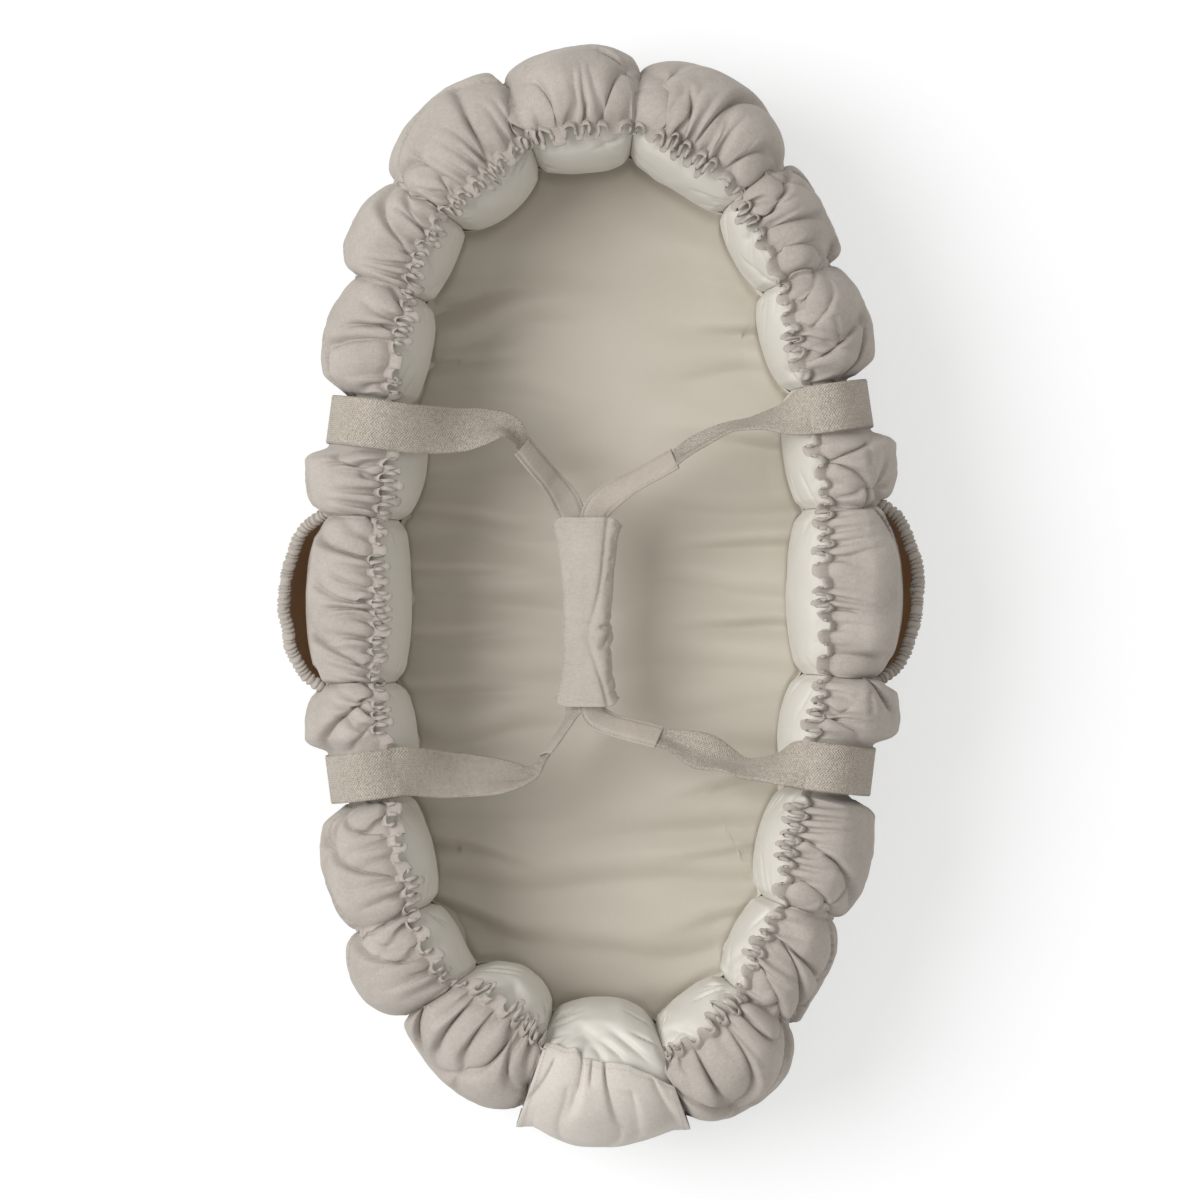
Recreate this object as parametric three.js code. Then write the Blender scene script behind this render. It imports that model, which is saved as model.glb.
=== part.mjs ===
import * as THREE from 'three';

// Soft infant lounger: a ring of stuffed cotton chambers round a padded floor, in a gathered
// linen cover, with two carrying straps that meet in a padded grip.
// Millimetres. +X is the right side, +Y the head end, +Z up. The origin is on the floor, midway.

// Wall ring, measured along the middle of its stuffed chambers
const ringHalfWidth = 190;
const ringHalfLength = 378;
const ringShapeShare = 2.4;
const wallTop = 178;
const seamDip = 13;
const seamClearance = 0.3;

// Fabric and foam layers, from the floor up
const clearance = 0.3;
const webbingThickness = 1.8;
const webbingWidth = 38;
const linenThickness = 1.4;
const cottonThickness = 1.2;
const foamThickness = 25;
const padEdgeHeight = 13;
const padCrown = 9;
const padFoldDepth = 2.2;
const padFoldWidth = 11;
const padClearance = 1;

// Cover
const coverEase = 0.8;
const elasticWidth = 6;
const elasticThickness = 1.2;
const elasticInset = 1;
const casingRoom = 0.9;
const flapEase = 1.2;
const flapPleat = 2.4;

// Straps that pass under the lounger and over its wall
const strapEase = 1;
const strapMargin = 1;

// Side pockets
const pocketReach = 59;
const pocketBelly = 6;
const pocketFoot = 24;
const pocketMouth = 118;
const pocketEase = 0.7;
const pocketRimRadius = 4.2;
const pocketCordRadius = 1.7;

// Carrying handles and the wrap that joins them
const sleeveWidth = 22;
const sleeveThickness = 4.6;
const sleeveWall = 0.9;
const gripLength = 149;
const gripLeftOfMiddle = 13.5;
const gripFootwards = 9.5;
const gripHeight = 116;
const gripHeadHalf = 23.6;
const gripWaistHalf = 14;
const gripFootHalf = 21.4;
const gripHalfDepth = 9;
const handleOffset = 2.8;
const handleSideEase = 2.8;
const handleSteps = 16;
const armSteps = 9;
const tapeThickness = 1;
const tapeEase = 0.5;

const handleHalf = sleeveWidth / 2;
const handleWallGap = sleeveWall + clearance;
const boreInsetShare = 1.6;

// Chambers clockwise from the head end: name, share of the ring's length, then how far the
// chamber stands out from the ring and half its plumpness, as shares of the ring's half width.
const chamberShares = [
  ['head', 0.0465, 0.028, 0.232],
  ['head_right', 0.0575, 0.022, 0.226],
  ['right_1', 0.0425, -0.014, 0.184],
  ['right_2', 0.0455, -0.018, 0.2],
  ['right_3', 0.052, -0.004, 0.2],
  ['right_4', 0.07, 0.003, 0.219],
  ['right_5', 0.049, -0.018, 0.212],
  ['right_6', 0.0505, -0.04, 0.21],
  ['right_7', 0.043, -0.034, 0.182],
  ['right_8', 0.046, 0.012, 0.245],
  ['foot', 0.059, -0.044, 0.277],
  ['left_8', 0.052, -0.076, 0.258],
  ['left_7', 0.036, 0.026, 0.21],
  ['left_6', 0.0495, 0.006, 0.2],
  ['left_5', 0.0485, -0.002, 0.203],
  ['left_4', 0.069, -0.003, 0.196],
  ['left_3', 0.05, -0.022, 0.22],
  ['left_2', 0.046, 0.002, 0.19],
  ['left_1', 0.0375, 0.038, 0.194],
  ['head_left', 0.05, 0.022, 0.256],
];
const firstSeamShare = -0.0325;
const seamShare = 0.68;
const stationShares = [-1, -0.78, -0.3, 0.3, 0.78, 1];
const bulgePowerShare = 3.2;
const bulgeRootShare = 2.2;

// Section of the wall: a flat foot, a widest line halfway up and a domed top
const sectionPowerShare = 2.3;
const widestShare = 0.5;
const footShare = 0.72;
const ruffleShare = 0.36;
const gatherShare = 0.05;
const degree = Math.PI / 180;
const footAngle = Math.acos(footShare ** (sectionPowerShare / 2));
const sideAngles = [-footAngle, -0.35 * footAngle, 20 * degree, 45 * degree, 67 * degree];
const crownAngle = Math.PI / 2;

// Levels of the layers under the mattress
const coverFloor = webbingThickness + clearance;
const nestFloor = coverFloor + linenThickness + clearance;
const chamberFoot = nestFloor + cottonThickness + clearance;
const padFoot = chamberFoot + foamThickness + clearance;
const padEdgeTop = padFoot + padEdgeHeight;

const linen = new THREE.MeshStandardMaterial({ color: 0xcbc3b8, roughness: 0.95, metalness: 0 });
const cotton = new THREE.MeshStandardMaterial({ color: 0xe6e1d2, roughness: 0.8, metalness: 0 });
const webbing = new THREE.MeshStandardMaterial({ color: 0xc7bdb0, roughness: 0.9, metalness: 0 });
const elastic = new THREE.MeshStandardMaterial({ color: 0xe8e4da, roughness: 0.7, metalness: 0 });
const foam = new THREE.MeshStandardMaterial({ color: 0xf0ead8, roughness: 1, metalness: 0 });
const hookAndLoop = new THREE.MeshStandardMaterial({ color: 0xe4dccb, roughness: 1, metalness: 0 });

const lounger = new THREE.Group();

function addPiece(name, geometry, material) {
  const mesh = new THREE.Mesh(geometry, material.clone());
  mesh.name = name;
  lounger.add(mesh);
}

const mix = (a, b, t) => a + (b - a) * t;

// Closed solids from rings of points

function signedVolume(points, faces) {
  let six = 0;
  const cross = new THREE.Vector3();
  for (const [a, b, c] of faces) {
    six += points[a].dot(cross.crossVectors(points[b], points[c]));
  }
  return six / 6;
}

function solid(points, faces) {
  const outward = signedVolume(points, faces) > 0;
  const geometry = new THREE.BufferGeometry();
  const positions = points.flatMap((p) => [p.x, p.y, p.z]);
  const index = faces.flatMap(([a, b, c]) => (outward ? [a, b, c] : [a, c, b]));
  geometry.setAttribute('position', new THREE.Float32BufferAttribute(positions, 3));
  geometry.setIndex(index);
  geometry.computeVertexNormals();
  return geometry;
}

// Two triangles between each pair of points on rings that follow each other. The split runs from
// the lower point of the first ring, so that nested layers are split alike.
function ringFaces(points, count, start, rows) {
  const faces = [];
  for (let row = 0; row < rows - 1; row += 1) {
    const here = start + row * count;
    const next = here + count;
    for (let i = 0; i < count; i += 1) {
      const j = (i + 1) % count;
      if (points[here + i].z <= points[here + j].z) {
        faces.push([here + i, here + j, next + j], [here + i, next + j, next + i]);
      } else {
        faces.push([here + i, here + j, next + i], [here + j, next + j, next + i]);
      }
    }
  }
  return faces;
}

// Rings joined in order, with both ends closed by the triangles of the flat outline
function loft(rings, outline) {
  const count = outline.length;
  const points = rings.flat();
  const faces = ringFaces(points, count, 0, rings.length);
  const flat = outline.map(([u, v]) => new THREE.Vector2(u, v));
  const last = (rings.length - 1) * count;
  for (const [a, b, c] of THREE.ShapeUtils.triangulateShape(flat, [])) {
    const turn = THREE.ShapeUtils.isClockWise(flat) ? [a, b, c] : [a, c, b];
    faces.push(turn, turn.toReversed().map((i) => i + last));
  }
  return solid(points, faces);
}

// A tube with a bore that is open at both ends
function hollowLoft(outerRings, innerRings) {
  const count = outerRings[0].length;
  const rows = outerRings.length;
  const inner = rows * count;
  const points = [...outerRings.flat(), ...innerRings.flat()];
  const faces = ringFaces(points, count, 0, rows);
  for (const face of ringFaces(points, count, inner, rows)) faces.push(face.toReversed());
  for (const row of [0, rows - 1]) {
    for (let i = 0; i < count; i += 1) {
      const j = (i + 1) % count;
      const [a, b] = [row * count + i, row * count + j];
      const quad = [[a, b + inner, b], [a, a + inner, b + inner]];
      for (const face of quad) faces.push(row === 0 ? face : face.toReversed());
    }
  }
  return solid(points, faces);
}

// Nested outlines from the rim inwards, closed by a point at the middle of each side
function domed(rings, middleBelow, middleAbove) {
  const count = rings[0].length;
  const points = [...rings.flat(), middleBelow, middleAbove];
  const faces = ringFaces(points, count, 0, rings.length);
  const last = (rings.length - 1) * count;
  for (let i = 0; i < count; i += 1) {
    const j = (i + 1) % count;
    faces.push([j, i, points.length - 2], [last + i, last + j, points.length - 1]);
  }
  return solid(points, faces);
}

// Places on the ring of the wall

const ringSteps = 1440;
const ringPoints = [];
for (let i = 0; i <= ringSteps; i += 1) {
  const angle = (2 * Math.PI * i) / ringSteps;
  const [sine, cosine] = [Math.sin(angle), Math.cos(angle)];
  const power = 2 / ringShapeShare;
  ringPoints.push(new THREE.Vector2(
    ringHalfWidth * Math.sign(sine) * Math.abs(sine) ** power,
    ringHalfLength * Math.sign(cosine) * Math.abs(cosine) ** power,
  ));
}
const ringRun = [0];
for (let i = 1; i <= ringSteps; i += 1) {
  ringRun.push(ringRun[i - 1] + ringPoints[i].distanceTo(ringPoints[i - 1]));
}
const ringLength = ringRun[ringSteps];

function ringAt(share) {
  const run = (share - Math.floor(share)) * ringLength;
  let low = 0;
  let high = ringSteps;
  while (high - low > 1) {
    const middle = (low + high) >> 1;
    if (ringRun[middle] <= run) low = middle;
    else high = middle;
  }
  const part = (run - ringRun[low]) / (ringRun[high] - ringRun[low]);
  const point = ringPoints[low].clone().lerp(ringPoints[high], part);
  const slope = (value, half) => (
    Math.sign(value) * Math.abs(value / half) ** (ringShapeShare - 1) / half
  );
  const out = new THREE.Vector2(slope(point.x, ringHalfWidth), slope(point.y, ringHalfLength));
  return { point, out: out.normalize() };
}

// A point at a share of the way round, r outwards from the ring, z up and s along the ring
function wallPlace(share, r, z, s = 0) {
  const { point, out } = ringAt(share);
  return new THREE.Vector3(point.x + out.x * r + out.y * s, point.y + out.y * r - out.x * s, z);
}

// Chambers and the seams between them

const chambers = [];
let reached = firstSeamShare;
for (const [name, lengthShare, outShare, plumpShare] of chamberShares) {
  chambers.push({
    name,
    start: reached,
    end: reached + lengthShare,
    out: outShare * ringHalfWidth,
    half: plumpShare * ringHalfWidth,
  });
  reached += lengthShare;
}

function seamBefore(index) {
  const here = chambers[index % chambers.length];
  const before = chambers[(index + chambers.length - 1) % chambers.length];
  return { out: (here.out + before.out) / 2, half: seamShare * ((here.half + before.half) / 2) };
}

function chamberNamed(name) {
  return chambers.findIndex((chamber) => chamber.name === name);
}

// The wall's middle, half thickness and height at u, from -1 to 1 across a chamber
function wallState(index, u) {
  const chamber = chambers[index];
  const [first, second] = [seamBefore(index), seamBefore(index + 1)];
  const t = (u + 1) / 2;
  const bulge = (1 - Math.abs(u) ** bulgePowerShare) ** (1 / bulgeRootShare);
  const seamHalf = mix(first.half, second.half, t);
  return {
    share: mix(chamber.start, chamber.end, t),
    out: mix(mix(first.out, second.out, t), chamber.out, bulge),
    half: mix(seamHalf, chamber.half, bulge),
    top: mix(wallTop - seamDip, wallTop, bulge),
  };
}

// The section's outer side, from the foot at -footAngle over the widest line at 0 to the crown
function sectionPoint(angle, half, top, foot) {
  const power = 2 / sectionPowerShare;
  const widest = mix(chamberFoot, top, widestShare);
  const r = half * Math.abs(Math.cos(angle)) ** power * Math.sign(Math.cos(angle) + Number.EPSILON);
  if (angle >= 0) return [r, widest + (top - widest) * Math.sin(angle) ** power];
  const drop = (Math.sin(-angle) / Math.sin(footAngle)) ** power;
  return [r, widest - (widest - foot) * drop];
}

// Side of the section offset by ease, as [r, z] points for the given angles
function sideLine(state, ease, angles, foot) {
  return angles.map((angle) => sectionPoint(angle, state.half + ease, state.top + ease, foot));
}

function placeLine(state, line) {
  return line.map(([r, z]) => wallPlace(state.share, state.out + r, z));
}

function addChamber(index) {
  const sections = stationShares.map((u) => {
    const state = wallState(index, u);
    if (Math.abs(u) === 1) state.share -= (u * seamClearance) / 2 / ringLength;
    const outer = sideLine(state, 0, sideAngles, chamberFoot);
    const inner = outer.map(([r, z]) => [-r, z]).toReversed();
    return { state, line: [...outer, [0, state.top], ...inner] };
  });
  const rings = sections.map(({ state, line }) => placeLine(state, line));
  addPiece(`wall_chamber_${chambers[index].name}`, loft(rings, sections[0].line), cotton);
}

// Linen cover: an outer wall that turns over the crown and ends in a casing for the elastic

const casingLow = coverEase;
const casingTop = casingLow + linenThickness + casingRoom * 2 + elasticThickness;
let gatherStep = 0;

// Two layers of linen over the crown, measured along and square to the line from the gathered
// edge to the crown
function casingFrame(state, gather) {
  const edgeR = -(ruffleShare + gather) * state.half;
  const power = sectionPowerShare;
  const widest = mix(chamberFoot, state.top, widestShare);
  const rise = (1 - (Math.abs(edgeR) / state.half) ** power) ** (1 / power);
  const edge = new THREE.Vector2(edgeR, widest + (state.top - widest) * rise);
  const crown = new THREE.Vector2(0, state.top);
  const along = crown.clone().sub(edge);
  const width = along.length();
  along.normalize();
  const up = new THREE.Vector2(-along.y, along.x);
  const at = (run, lift) => [
    edge.x + along.x * run + up.x * lift,
    edge.y + along.y * run + up.y * lift,
  ];
  return { at, width };
}

function coverSection(state, gather, gathered) {
  const outside = sideLine(state, coverEase + linenThickness, sideAngles, coverFloor + clearance);
  const inside = sideLine(state, coverEase, sideAngles, coverFloor + clearance);
  if (!gathered) return [...outside, ...inside.toReversed()];
  const { at, width } = casingFrame(state, gather);
  const top = casingTop + linenThickness;
  return [
    ...outside,
    at(width, top),
    at(0, top),
    at(-linenThickness, (top + casingLow) / 2),
    at(0, casingLow),
    at(width - linenThickness, casingLow),
    at(width - linenThickness, casingLow + linenThickness),
    at(linenThickness, casingLow + linenThickness),
    at(linenThickness, casingTop),
    at(width, casingTop),
    ...inside.toReversed(),
  ];
}

function addCoverPanel(name, indices, gathered) {
  const rings = [];
  let outline = null;
  indices.forEach((index, place) => {
    stationShares.forEach((u, station) => {
      if (place > 0 && station === 0) return;
      const ends = (place === 0 && station === 0)
        || (place === indices.length - 1 && station === stationShares.length - 1);
      const state = wallState(index, u);
      if (ends) state.share -= Math.sign(u) * (seamClearance / 2 / ringLength);
      const line = coverSection(state, gatherAt(index, station), gathered);
      outline = outline ?? line;
      rings.push(placeLine(state, line));
    });
  });
  addPiece(name, loft(rings, outline), linen);
}

// The casing's edge runs in and out from station to station
function gatherAt(index, station) {
  return (index * (stationShares.length - 1) + station) % 2 === 0 ? gatherShare : -gatherShare;
}

function addCoverElastic(indices) {
  const rings = [];
  indices.forEach((index, place) => {
    stationShares.forEach((u, station) => {
      if (place > 0 && station === 0) return;
      const state = wallState(index, u);
      const { at } = casingFrame(state, gatherAt(index, station));
      const low = casingLow + linenThickness + casingRoom;
      const start = linenThickness + elasticInset;
      rings.push(placeLine(state, [
        at(start, low),
        at(start + elasticWidth, low),
        at(start + elasticWidth, low + elasticThickness),
        at(start, low + elasticThickness),
      ]));
    });
  });
  addPiece('cover_elastic', loft(rings, [[0, 0], [1, 0], [1, 1], [0, 1]]), elastic);
}

// Flat layers under the chambers, with the outline of the chambers' feet

function footOutline(inset) {
  const outline = [];
  chambers.forEach((_, index) => {
    stationShares.slice(0, -1).forEach((u) => {
      const state = wallState(index, u);
      outline.push(wallPlace(state.share, state.out + footShare * state.half - inset, 0));
    });
  });
  return outline;
}

function addFlatLayer(name, outline, bottom, thickness, material) {
  const shape = new THREE.Shape(outline.map((p) => new THREE.Vector2(p.x, p.y)));
  const geometry = new THREE.ExtrudeGeometry(shape, { depth: thickness, bevelEnabled: false });
  geometry.translate(0, 0, bottom);
  addPiece(name, geometry, material);
}

// Outline just inside the chambers, for what lies between them
function innerOutline(inset) {
  const outline = [];
  chambers.forEach((_, index) => {
    stationShares.slice(0, -1).forEach((u) => {
      const state = wallState(index, u);
      outline.push(wallPlace(state.share, state.out - state.half - inset, 0));
    });
  });
  return outline;
}

// Floor pad: sides drawn in to its seams, a low crown and soft folds across it
const padFoldShares = [-0.75, -0.6, -0.47, -0.31, -0.15, -0.02, 0.12, 0.3, 0.44, 0.55, 0.68];
const padRingShares = [0.78, 0.4];
const padDrawShare = 0.35;

function padHeight(x, y, across) {
  let height = padEdgeTop + padCrown * (1 - across ** 2);
  for (const share of padFoldShares) {
    const away = (y - share * ringHalfLength) / padFoldWidth;
    height -= padFoldDepth * Math.exp(-(away ** 2)) * across * Math.abs(x / ringHalfWidth);
  }
  return height;
}

function addFloorPad() {
  const draw = padEdgeHeight * padDrawShare;
  const levels = [
    [draw, padFoot],
    [padClearance, mix(padFoot, padEdgeTop, 0.5)],
    [draw, padEdgeTop],
  ];
  const rings = levels.map(([inset, z]) => innerOutline(inset).map((p) => p.setZ(z)));
  const rim = innerOutline(draw);
  for (const share of padRingShares) {
    rings.push(rim.map((p) => new THREE.Vector3(
      p.x * share,
      p.y * share,
      padHeight(p.x * share, p.y * share, share),
    )));
  }
  const below = new THREE.Vector3(0, 0, padFoot);
  const above = new THREE.Vector3(0, 0, padHeight(0, 0, 0));
  addPiece('floor_pad', domed(rings, below, above), cotton);
}

// Foot flap: a plain turned-over panel across the foot chamber, with pleats at its top
const flapAngles = [-0.8 * footAngle, ...sideAngles.slice(1), crownAngle];
const flapStations = [-0.97, -0.78, -0.3, -0.12, 0, 0.12, 0.3, 0.78, 0.97];
const flapPleatShares = [0, 0, 0, 1, 0, 1, 0, 0, 0];

function addFootFlap() {
  const index = chamberNamed('foot');
  const sections = flapStations.map((u, station) => {
    const state = wallState(index, u);
    const pleat = flapPleat * flapPleatShares[station];
    const low = coverEase + linenThickness + flapEase;
    const layer = (ease) => {
      const line = sideLine(state, ease, flapAngles, coverFloor + clearance);
      const { at } = casingFrame(state, 0);
      const edge = at(0, ease + pleat);
      line[line.length - 1][1] += pleat;
      return [...line, edge];
    };
    const line = [...layer(low + linenThickness), ...layer(low).toReversed()];
    return { state, line };
  });
  const rings = sections.map(({ state, line }) => placeLine(state, line));
  addPiece('foot_flap', loft(rings, sections[0].line), linen);
}

// Side pockets: a bowed panel outside the widest chamber, with a corded rim

const pocketStations = 14;
const pocketLevels = [0, 0.2, 0.45, 0.72, 1];
const pocketBowShare = 0.55;
const pocketFillShare = 0.35;
const rimStations = 2 * pocketStations;
const rimSides = 6;
const rimSlope = (2 * Math.PI) / rimSides;
const rimGatherShare = 0.1;
const rimEndShare = 0.7;

// Distance of the cover's outer face from the ring at a height on the side of the wall
function coverRadiusAt(state, z) {
  const line = sideLine(state, coverEase + linenThickness, sideAngles, coverFloor + clearance);
  const upper = line.findIndex((point) => point[1] > z);
  const [low, high] = [line[upper - 1], line[upper]];
  return state.out + mix(low[0], high[0], (z - low[1]) / (high[1] - low[1]));
}

// The pocket's inner face: place along the wall and distance from the ring, with t along the
// mouth and level up the bag
function pocketPlace(index, t, level, z) {
  const free = (at) => coverRadiusAt(wallState(index, 2 * at - 1), z) + pocketEase;
  const bow = pocketReach - pocketRimRadius - free(0.5);
  const belly = pocketBelly * Math.sin(Math.PI * level);
  const swell = (bow * level ** pocketFillShare + belly) * Math.sin(Math.PI * t) ** pocketBowShare;
  return { share: wallState(index, 2 * t - 1).share, radius: free(t) + swell };
}

function pocketT(step, steps) {
  const edge = seamClearance / ringLength;
  return mix(edge, 1 - edge, step / steps);
}

function rimRadiusAt(t) {
  const growth = Math.min(1, 2 * Math.sin(Math.PI * t));
  return pocketRimRadius * mix(rimEndShare, 1, growth);
}

function addPocket(side, index) {
  const seat = (clearance + linenThickness * Math.sin(rimSlope)) / Math.cos(rimSlope);
  const panelTop = pocketMouth - seat;
  const panelRings = [];
  for (let step = 0; step <= pocketStations; step += 1) {
    const t = pocketT(step, pocketStations);
    const layer = (shift) => pocketLevels.map((level) => {
      const z = mix(pocketFoot, panelTop, level);
      const { share, radius } = pocketPlace(index, t, level, z);
      return wallPlace(share, radius + shift, z);
    });
    panelRings.push([...layer(linenThickness), ...layer(0).toReversed()]);
  }
  const flat = [
    ...pocketLevels.map((level) => [1, level]),
    ...pocketLevels.map((level) => [0, level]).toReversed(),
  ];
  addPiece(`pocket_${side}_panel`, loft(panelRings, flat), linen);

  const route = [];
  for (let step = 0; step <= rimStations; step += 1) {
    const t = pocketT(step, rimStations);
    const radius = rimRadiusAt(t);
    const place = pocketPlace(index, t, 1, pocketMouth);
    route.push({ centre: wallPlace(place.share, place.radius + radius, pocketMouth), radius });
  }
  const circle = (size) => route.map(({ centre, radius }, step) => {
    const before = route[Math.max(step - 1, 0)].centre;
    const after = route[Math.min(step + 1, rimStations)].centre;
    const ahead = after.clone().sub(before).normalize();
    const side0 = new THREE.Vector3(ahead.y, -ahead.x, 0);
    return Array.from({ length: rimSides }, (_, i) => {
      const angle = (2 * Math.PI * i) / rimSides;
      const reach = size(radius, step);
      const p = centre.clone().addScaledVector(side0, reach * Math.cos(angle));
      p.z += reach * Math.sin(angle);
      return p;
    });
  });
  const bore = pocketCordRadius + clearance;
  const outer = circle((radius, step) => radius * (1 + rimGatherShare * (step % 2 === 0 ? -1 : 0)));
  const inner = circle(() => bore / Math.cos(Math.PI / rimSides));
  addPiece(`pocket_${side}_rim`, hollowLoft(outer, inner), linen);
  const cord = circle(() => pocketCordRadius);
  const hexagon = Array.from({ length: rimSides }, (_, i) => {
    const angle = (2 * Math.PI * i) / rimSides;
    return [Math.cos(angle), Math.sin(angle)];
  });
  addPiece(`pocket_${side}_elastic`, loft(cord, hexagon), elastic);
}

// Webbing straps: two bands under the base, up the outside and over the wall

const ruffleAngle = 105 * degree;
const strapAngles = [...sideAngles, crownAngle, ruffleAngle];
const strapSeams = {
  head_left: { seam: 'left_2', chamber: 'left_3', turn: -1 },
  head_right: { seam: 'right_3', chamber: 'right_3', turn: 1 },
  foot_left: { seam: 'left_5', chamber: 'left_5', turn: 1 },
  foot_right: { seam: 'right_6', chamber: 'right_5', turn: -1 },
};

function strapCourse(name) {
  const { seam, chamber, turn } = strapSeams[name];
  const beside = chambers[chamberNamed(seam)].start;
  const share = beside + (turn * (webbingWidth / 2 + strapMargin)) / ringLength;
  const { out, half } = chambers[chamberNamed(chamber)];
  const wide = half + coverEase + linenThickness + strapEase;
  const lift = casingTop + linenThickness + clearance + strapEase;
  const layer = (ease) => strapAngles.map((angle) => {
    const over = Math.min(1, Math.max(0, angle / sideAngles[4]));
    const state = { half: wide + ease, top: wallTop + ease + lift * over };
    const [r, z] = sectionPoint(angle, state.half, state.top, coverFloor);
    return [out + r, z];
  });
  return { share, inner: layer(0), outer: layer(webbingThickness) };
}

function strapRing(share, inner, outer) {
  const side = webbingWidth / 2;
  return [
    wallPlace(share, inner[0], inner[1], -side),
    wallPlace(share, inner[0], inner[1], side),
    wallPlace(share, outer[0], outer[1], side),
    wallPlace(share, outer[0], outer[1], -side),
  ];
}

const bandOutline = [[-1, 0], [1, 0], [1, 1], [-1, 1]];

function addWallStrap(name) {
  const { share, inner, outer } = strapCourse(name);
  const rings = inner.map((low, i) => strapRing(share, low, outer[i]));
  addPiece(`wall_strap_${name}`, loft(rings, bandOutline), webbing);
}

function addBaseStrap(end) {
  const rings = ['left', 'right'].map((side) => {
    const { share, outer } = strapCourse(`${end}_${side}`);
    const ring = strapRing(share, [outer[0][0], 0], [outer[0][0], webbingThickness]);
    return side === 'left' ? ring : [ring[1], ring[0], ring[3], ring[2]];
  });
  addPiece(`base_strap_${end}`, loft(rings, bandOutline), webbing);
}

// Ribbons that run free between the wall and the grip

function ribbonFrame(curve, t, roll) {
  const ahead = curve.getTangentAt(t).normalize();
  const flat = new THREE.Vector3(-ahead.y, ahead.x, 0).normalize();
  const lift = new THREE.Vector3().crossVectors(ahead, flat);
  const across = flat.clone().multiplyScalar(Math.cos(roll)).addScaledVector(lift, Math.sin(roll));
  const up = new THREE.Vector3().crossVectors(ahead, across);
  return { point: curve.getPointAt(t), across, up };
}

function ribbonRings(curve, steps, rollAt, section) {
  const rings = [];
  for (let step = 0; step <= steps; step += 1) {
    const t = step / steps;
    const { point, across, up } = ribbonFrame(curve, t, rollAt(t));
    rings.push(section.map(([u, v]) => (
      point.clone().addScaledVector(across, u).addScaledVector(up, v)
    )));
  }
  return rings;
}

// The grip's half width inside the wrap, t from its foot end to its head end
const waistShare = 0.36;
function gripHalfAt(t) {
  const end = t < waistShare ? gripFootHalf : gripHeadHalf;
  const away = t < waistShare ? (waistShare - t) / waistShare : (t - waistShare) / (1 - waistShare);
  return mix(gripWaistHalf, end, away ** 2);
}

// Seams between the webbing and the handles, as shares of the ring's half sizes and the wall's
// height, clockwise from the head's left, with the roll of the handle there in degrees
const handleSeamShares = {
  head_left: [-0.326, 0.32, 0.75, -12],
  head_right: [0.305, 0.294, 0.75, 18],
  foot_left: [-0.232, -0.323, 0.72, 10],
  foot_right: [0.242, -0.286, 0.72, -22],
};

function handleSeam(name) {
  const [x, y, z] = handleSeamShares[name];
  return new THREE.Vector3(x * ringHalfWidth, y * ringHalfLength, z * wallTop);
}

function handleCurve(side) {
  const turn = side === 'left' ? -1 : 1;
  const inGrip = [1.05, 0.9, waistShare, 0.06, -0.05].map((t) => new THREE.Vector3(
    -gripLeftOfMiddle + turn * (gripHalfAt(t) - handleHalf - handleSideEase),
    -gripFootwards + gripLength * (t - 0.5),
    gripHeight + turn * handleOffset,
  ));
  return new THREE.CatmullRomCurve3([
    handleSeam(`head_${side}`),
    ...inGrip,
    handleSeam(`foot_${side}`),
  ], false, 'centripetal');
}

const rollShare = 0.1;
function handleRoll(side, t) {
  const head = handleSeamShares[`head_${side}`][3] * degree;
  const foot = handleSeamShares[`foot_${side}`][3] * degree;
  const fade = (away) => Math.max(0, 1 - away / rollShare);
  return head * fade(t) + foot * fade(1 - t);
}

const edgeShare = 0.82;
function bandSection(half, thickness) {
  return [
    [-half, 0],
    [-half * edgeShare, -thickness / 2],
    [half * edgeShare, -thickness / 2],
    [half, 0],
    [half * edgeShare, thickness / 2],
    [-half * edgeShare, thickness / 2],
  ];
}

function addHandle(side) {
  const curve = handleCurve(side);
  const roll = (t) => handleRoll(side, t);
  const outer = ribbonRings(curve, handleSteps, roll, bandSection(handleHalf, sleeveThickness));
  const boreHalf = handleHalf - boreInsetShare * sleeveWall;
  const boreSection = bandSection(boreHalf, sleeveThickness - 2 * sleeveWall);
  const bore = ribbonRings(curve, handleSteps, roll, boreSection);
  addPiece(`handle_${side}_sleeve`, hollowLoft(outer, bore), linen);
  const coreHalf = (handleHalf - boreInsetShare * handleWallGap) * edgeShare;
  const coreThickness = sleeveThickness - 2 * handleWallGap;
  const coreSection = bandOutline.map(([u, v]) => [u * coreHalf, (v - 0.5) * coreThickness]);
  const core = ribbonRings(curve, handleSteps, roll, coreSection);
  addPiece(`handle_${side}_core`, loft(core, bandOutline), webbing);
}

// Free webbing from the wall strap's end to the handle's seam: places between, as the seam
// shares are, and the roll in degrees at each quarter of the way
const armMiddleShares = {
  head_left: [[-0.6, 0.352, 0.87]],
  head_right: [[0.56, 0.36, 0.86]],
  foot_left: [[-0.6, -0.362, 0.85]],
  foot_right: [[0.58, -0.345, 0.85]],
};
const armRollDegrees = {
  head_left: [0, 0, -4, -12],
  head_right: [0, 14, 62, 18],
  foot_left: [0, 0, 6, 10],
  foot_right: [0, -8, -58, -22],
};
const armLeadShare = 1 / 3;

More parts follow.
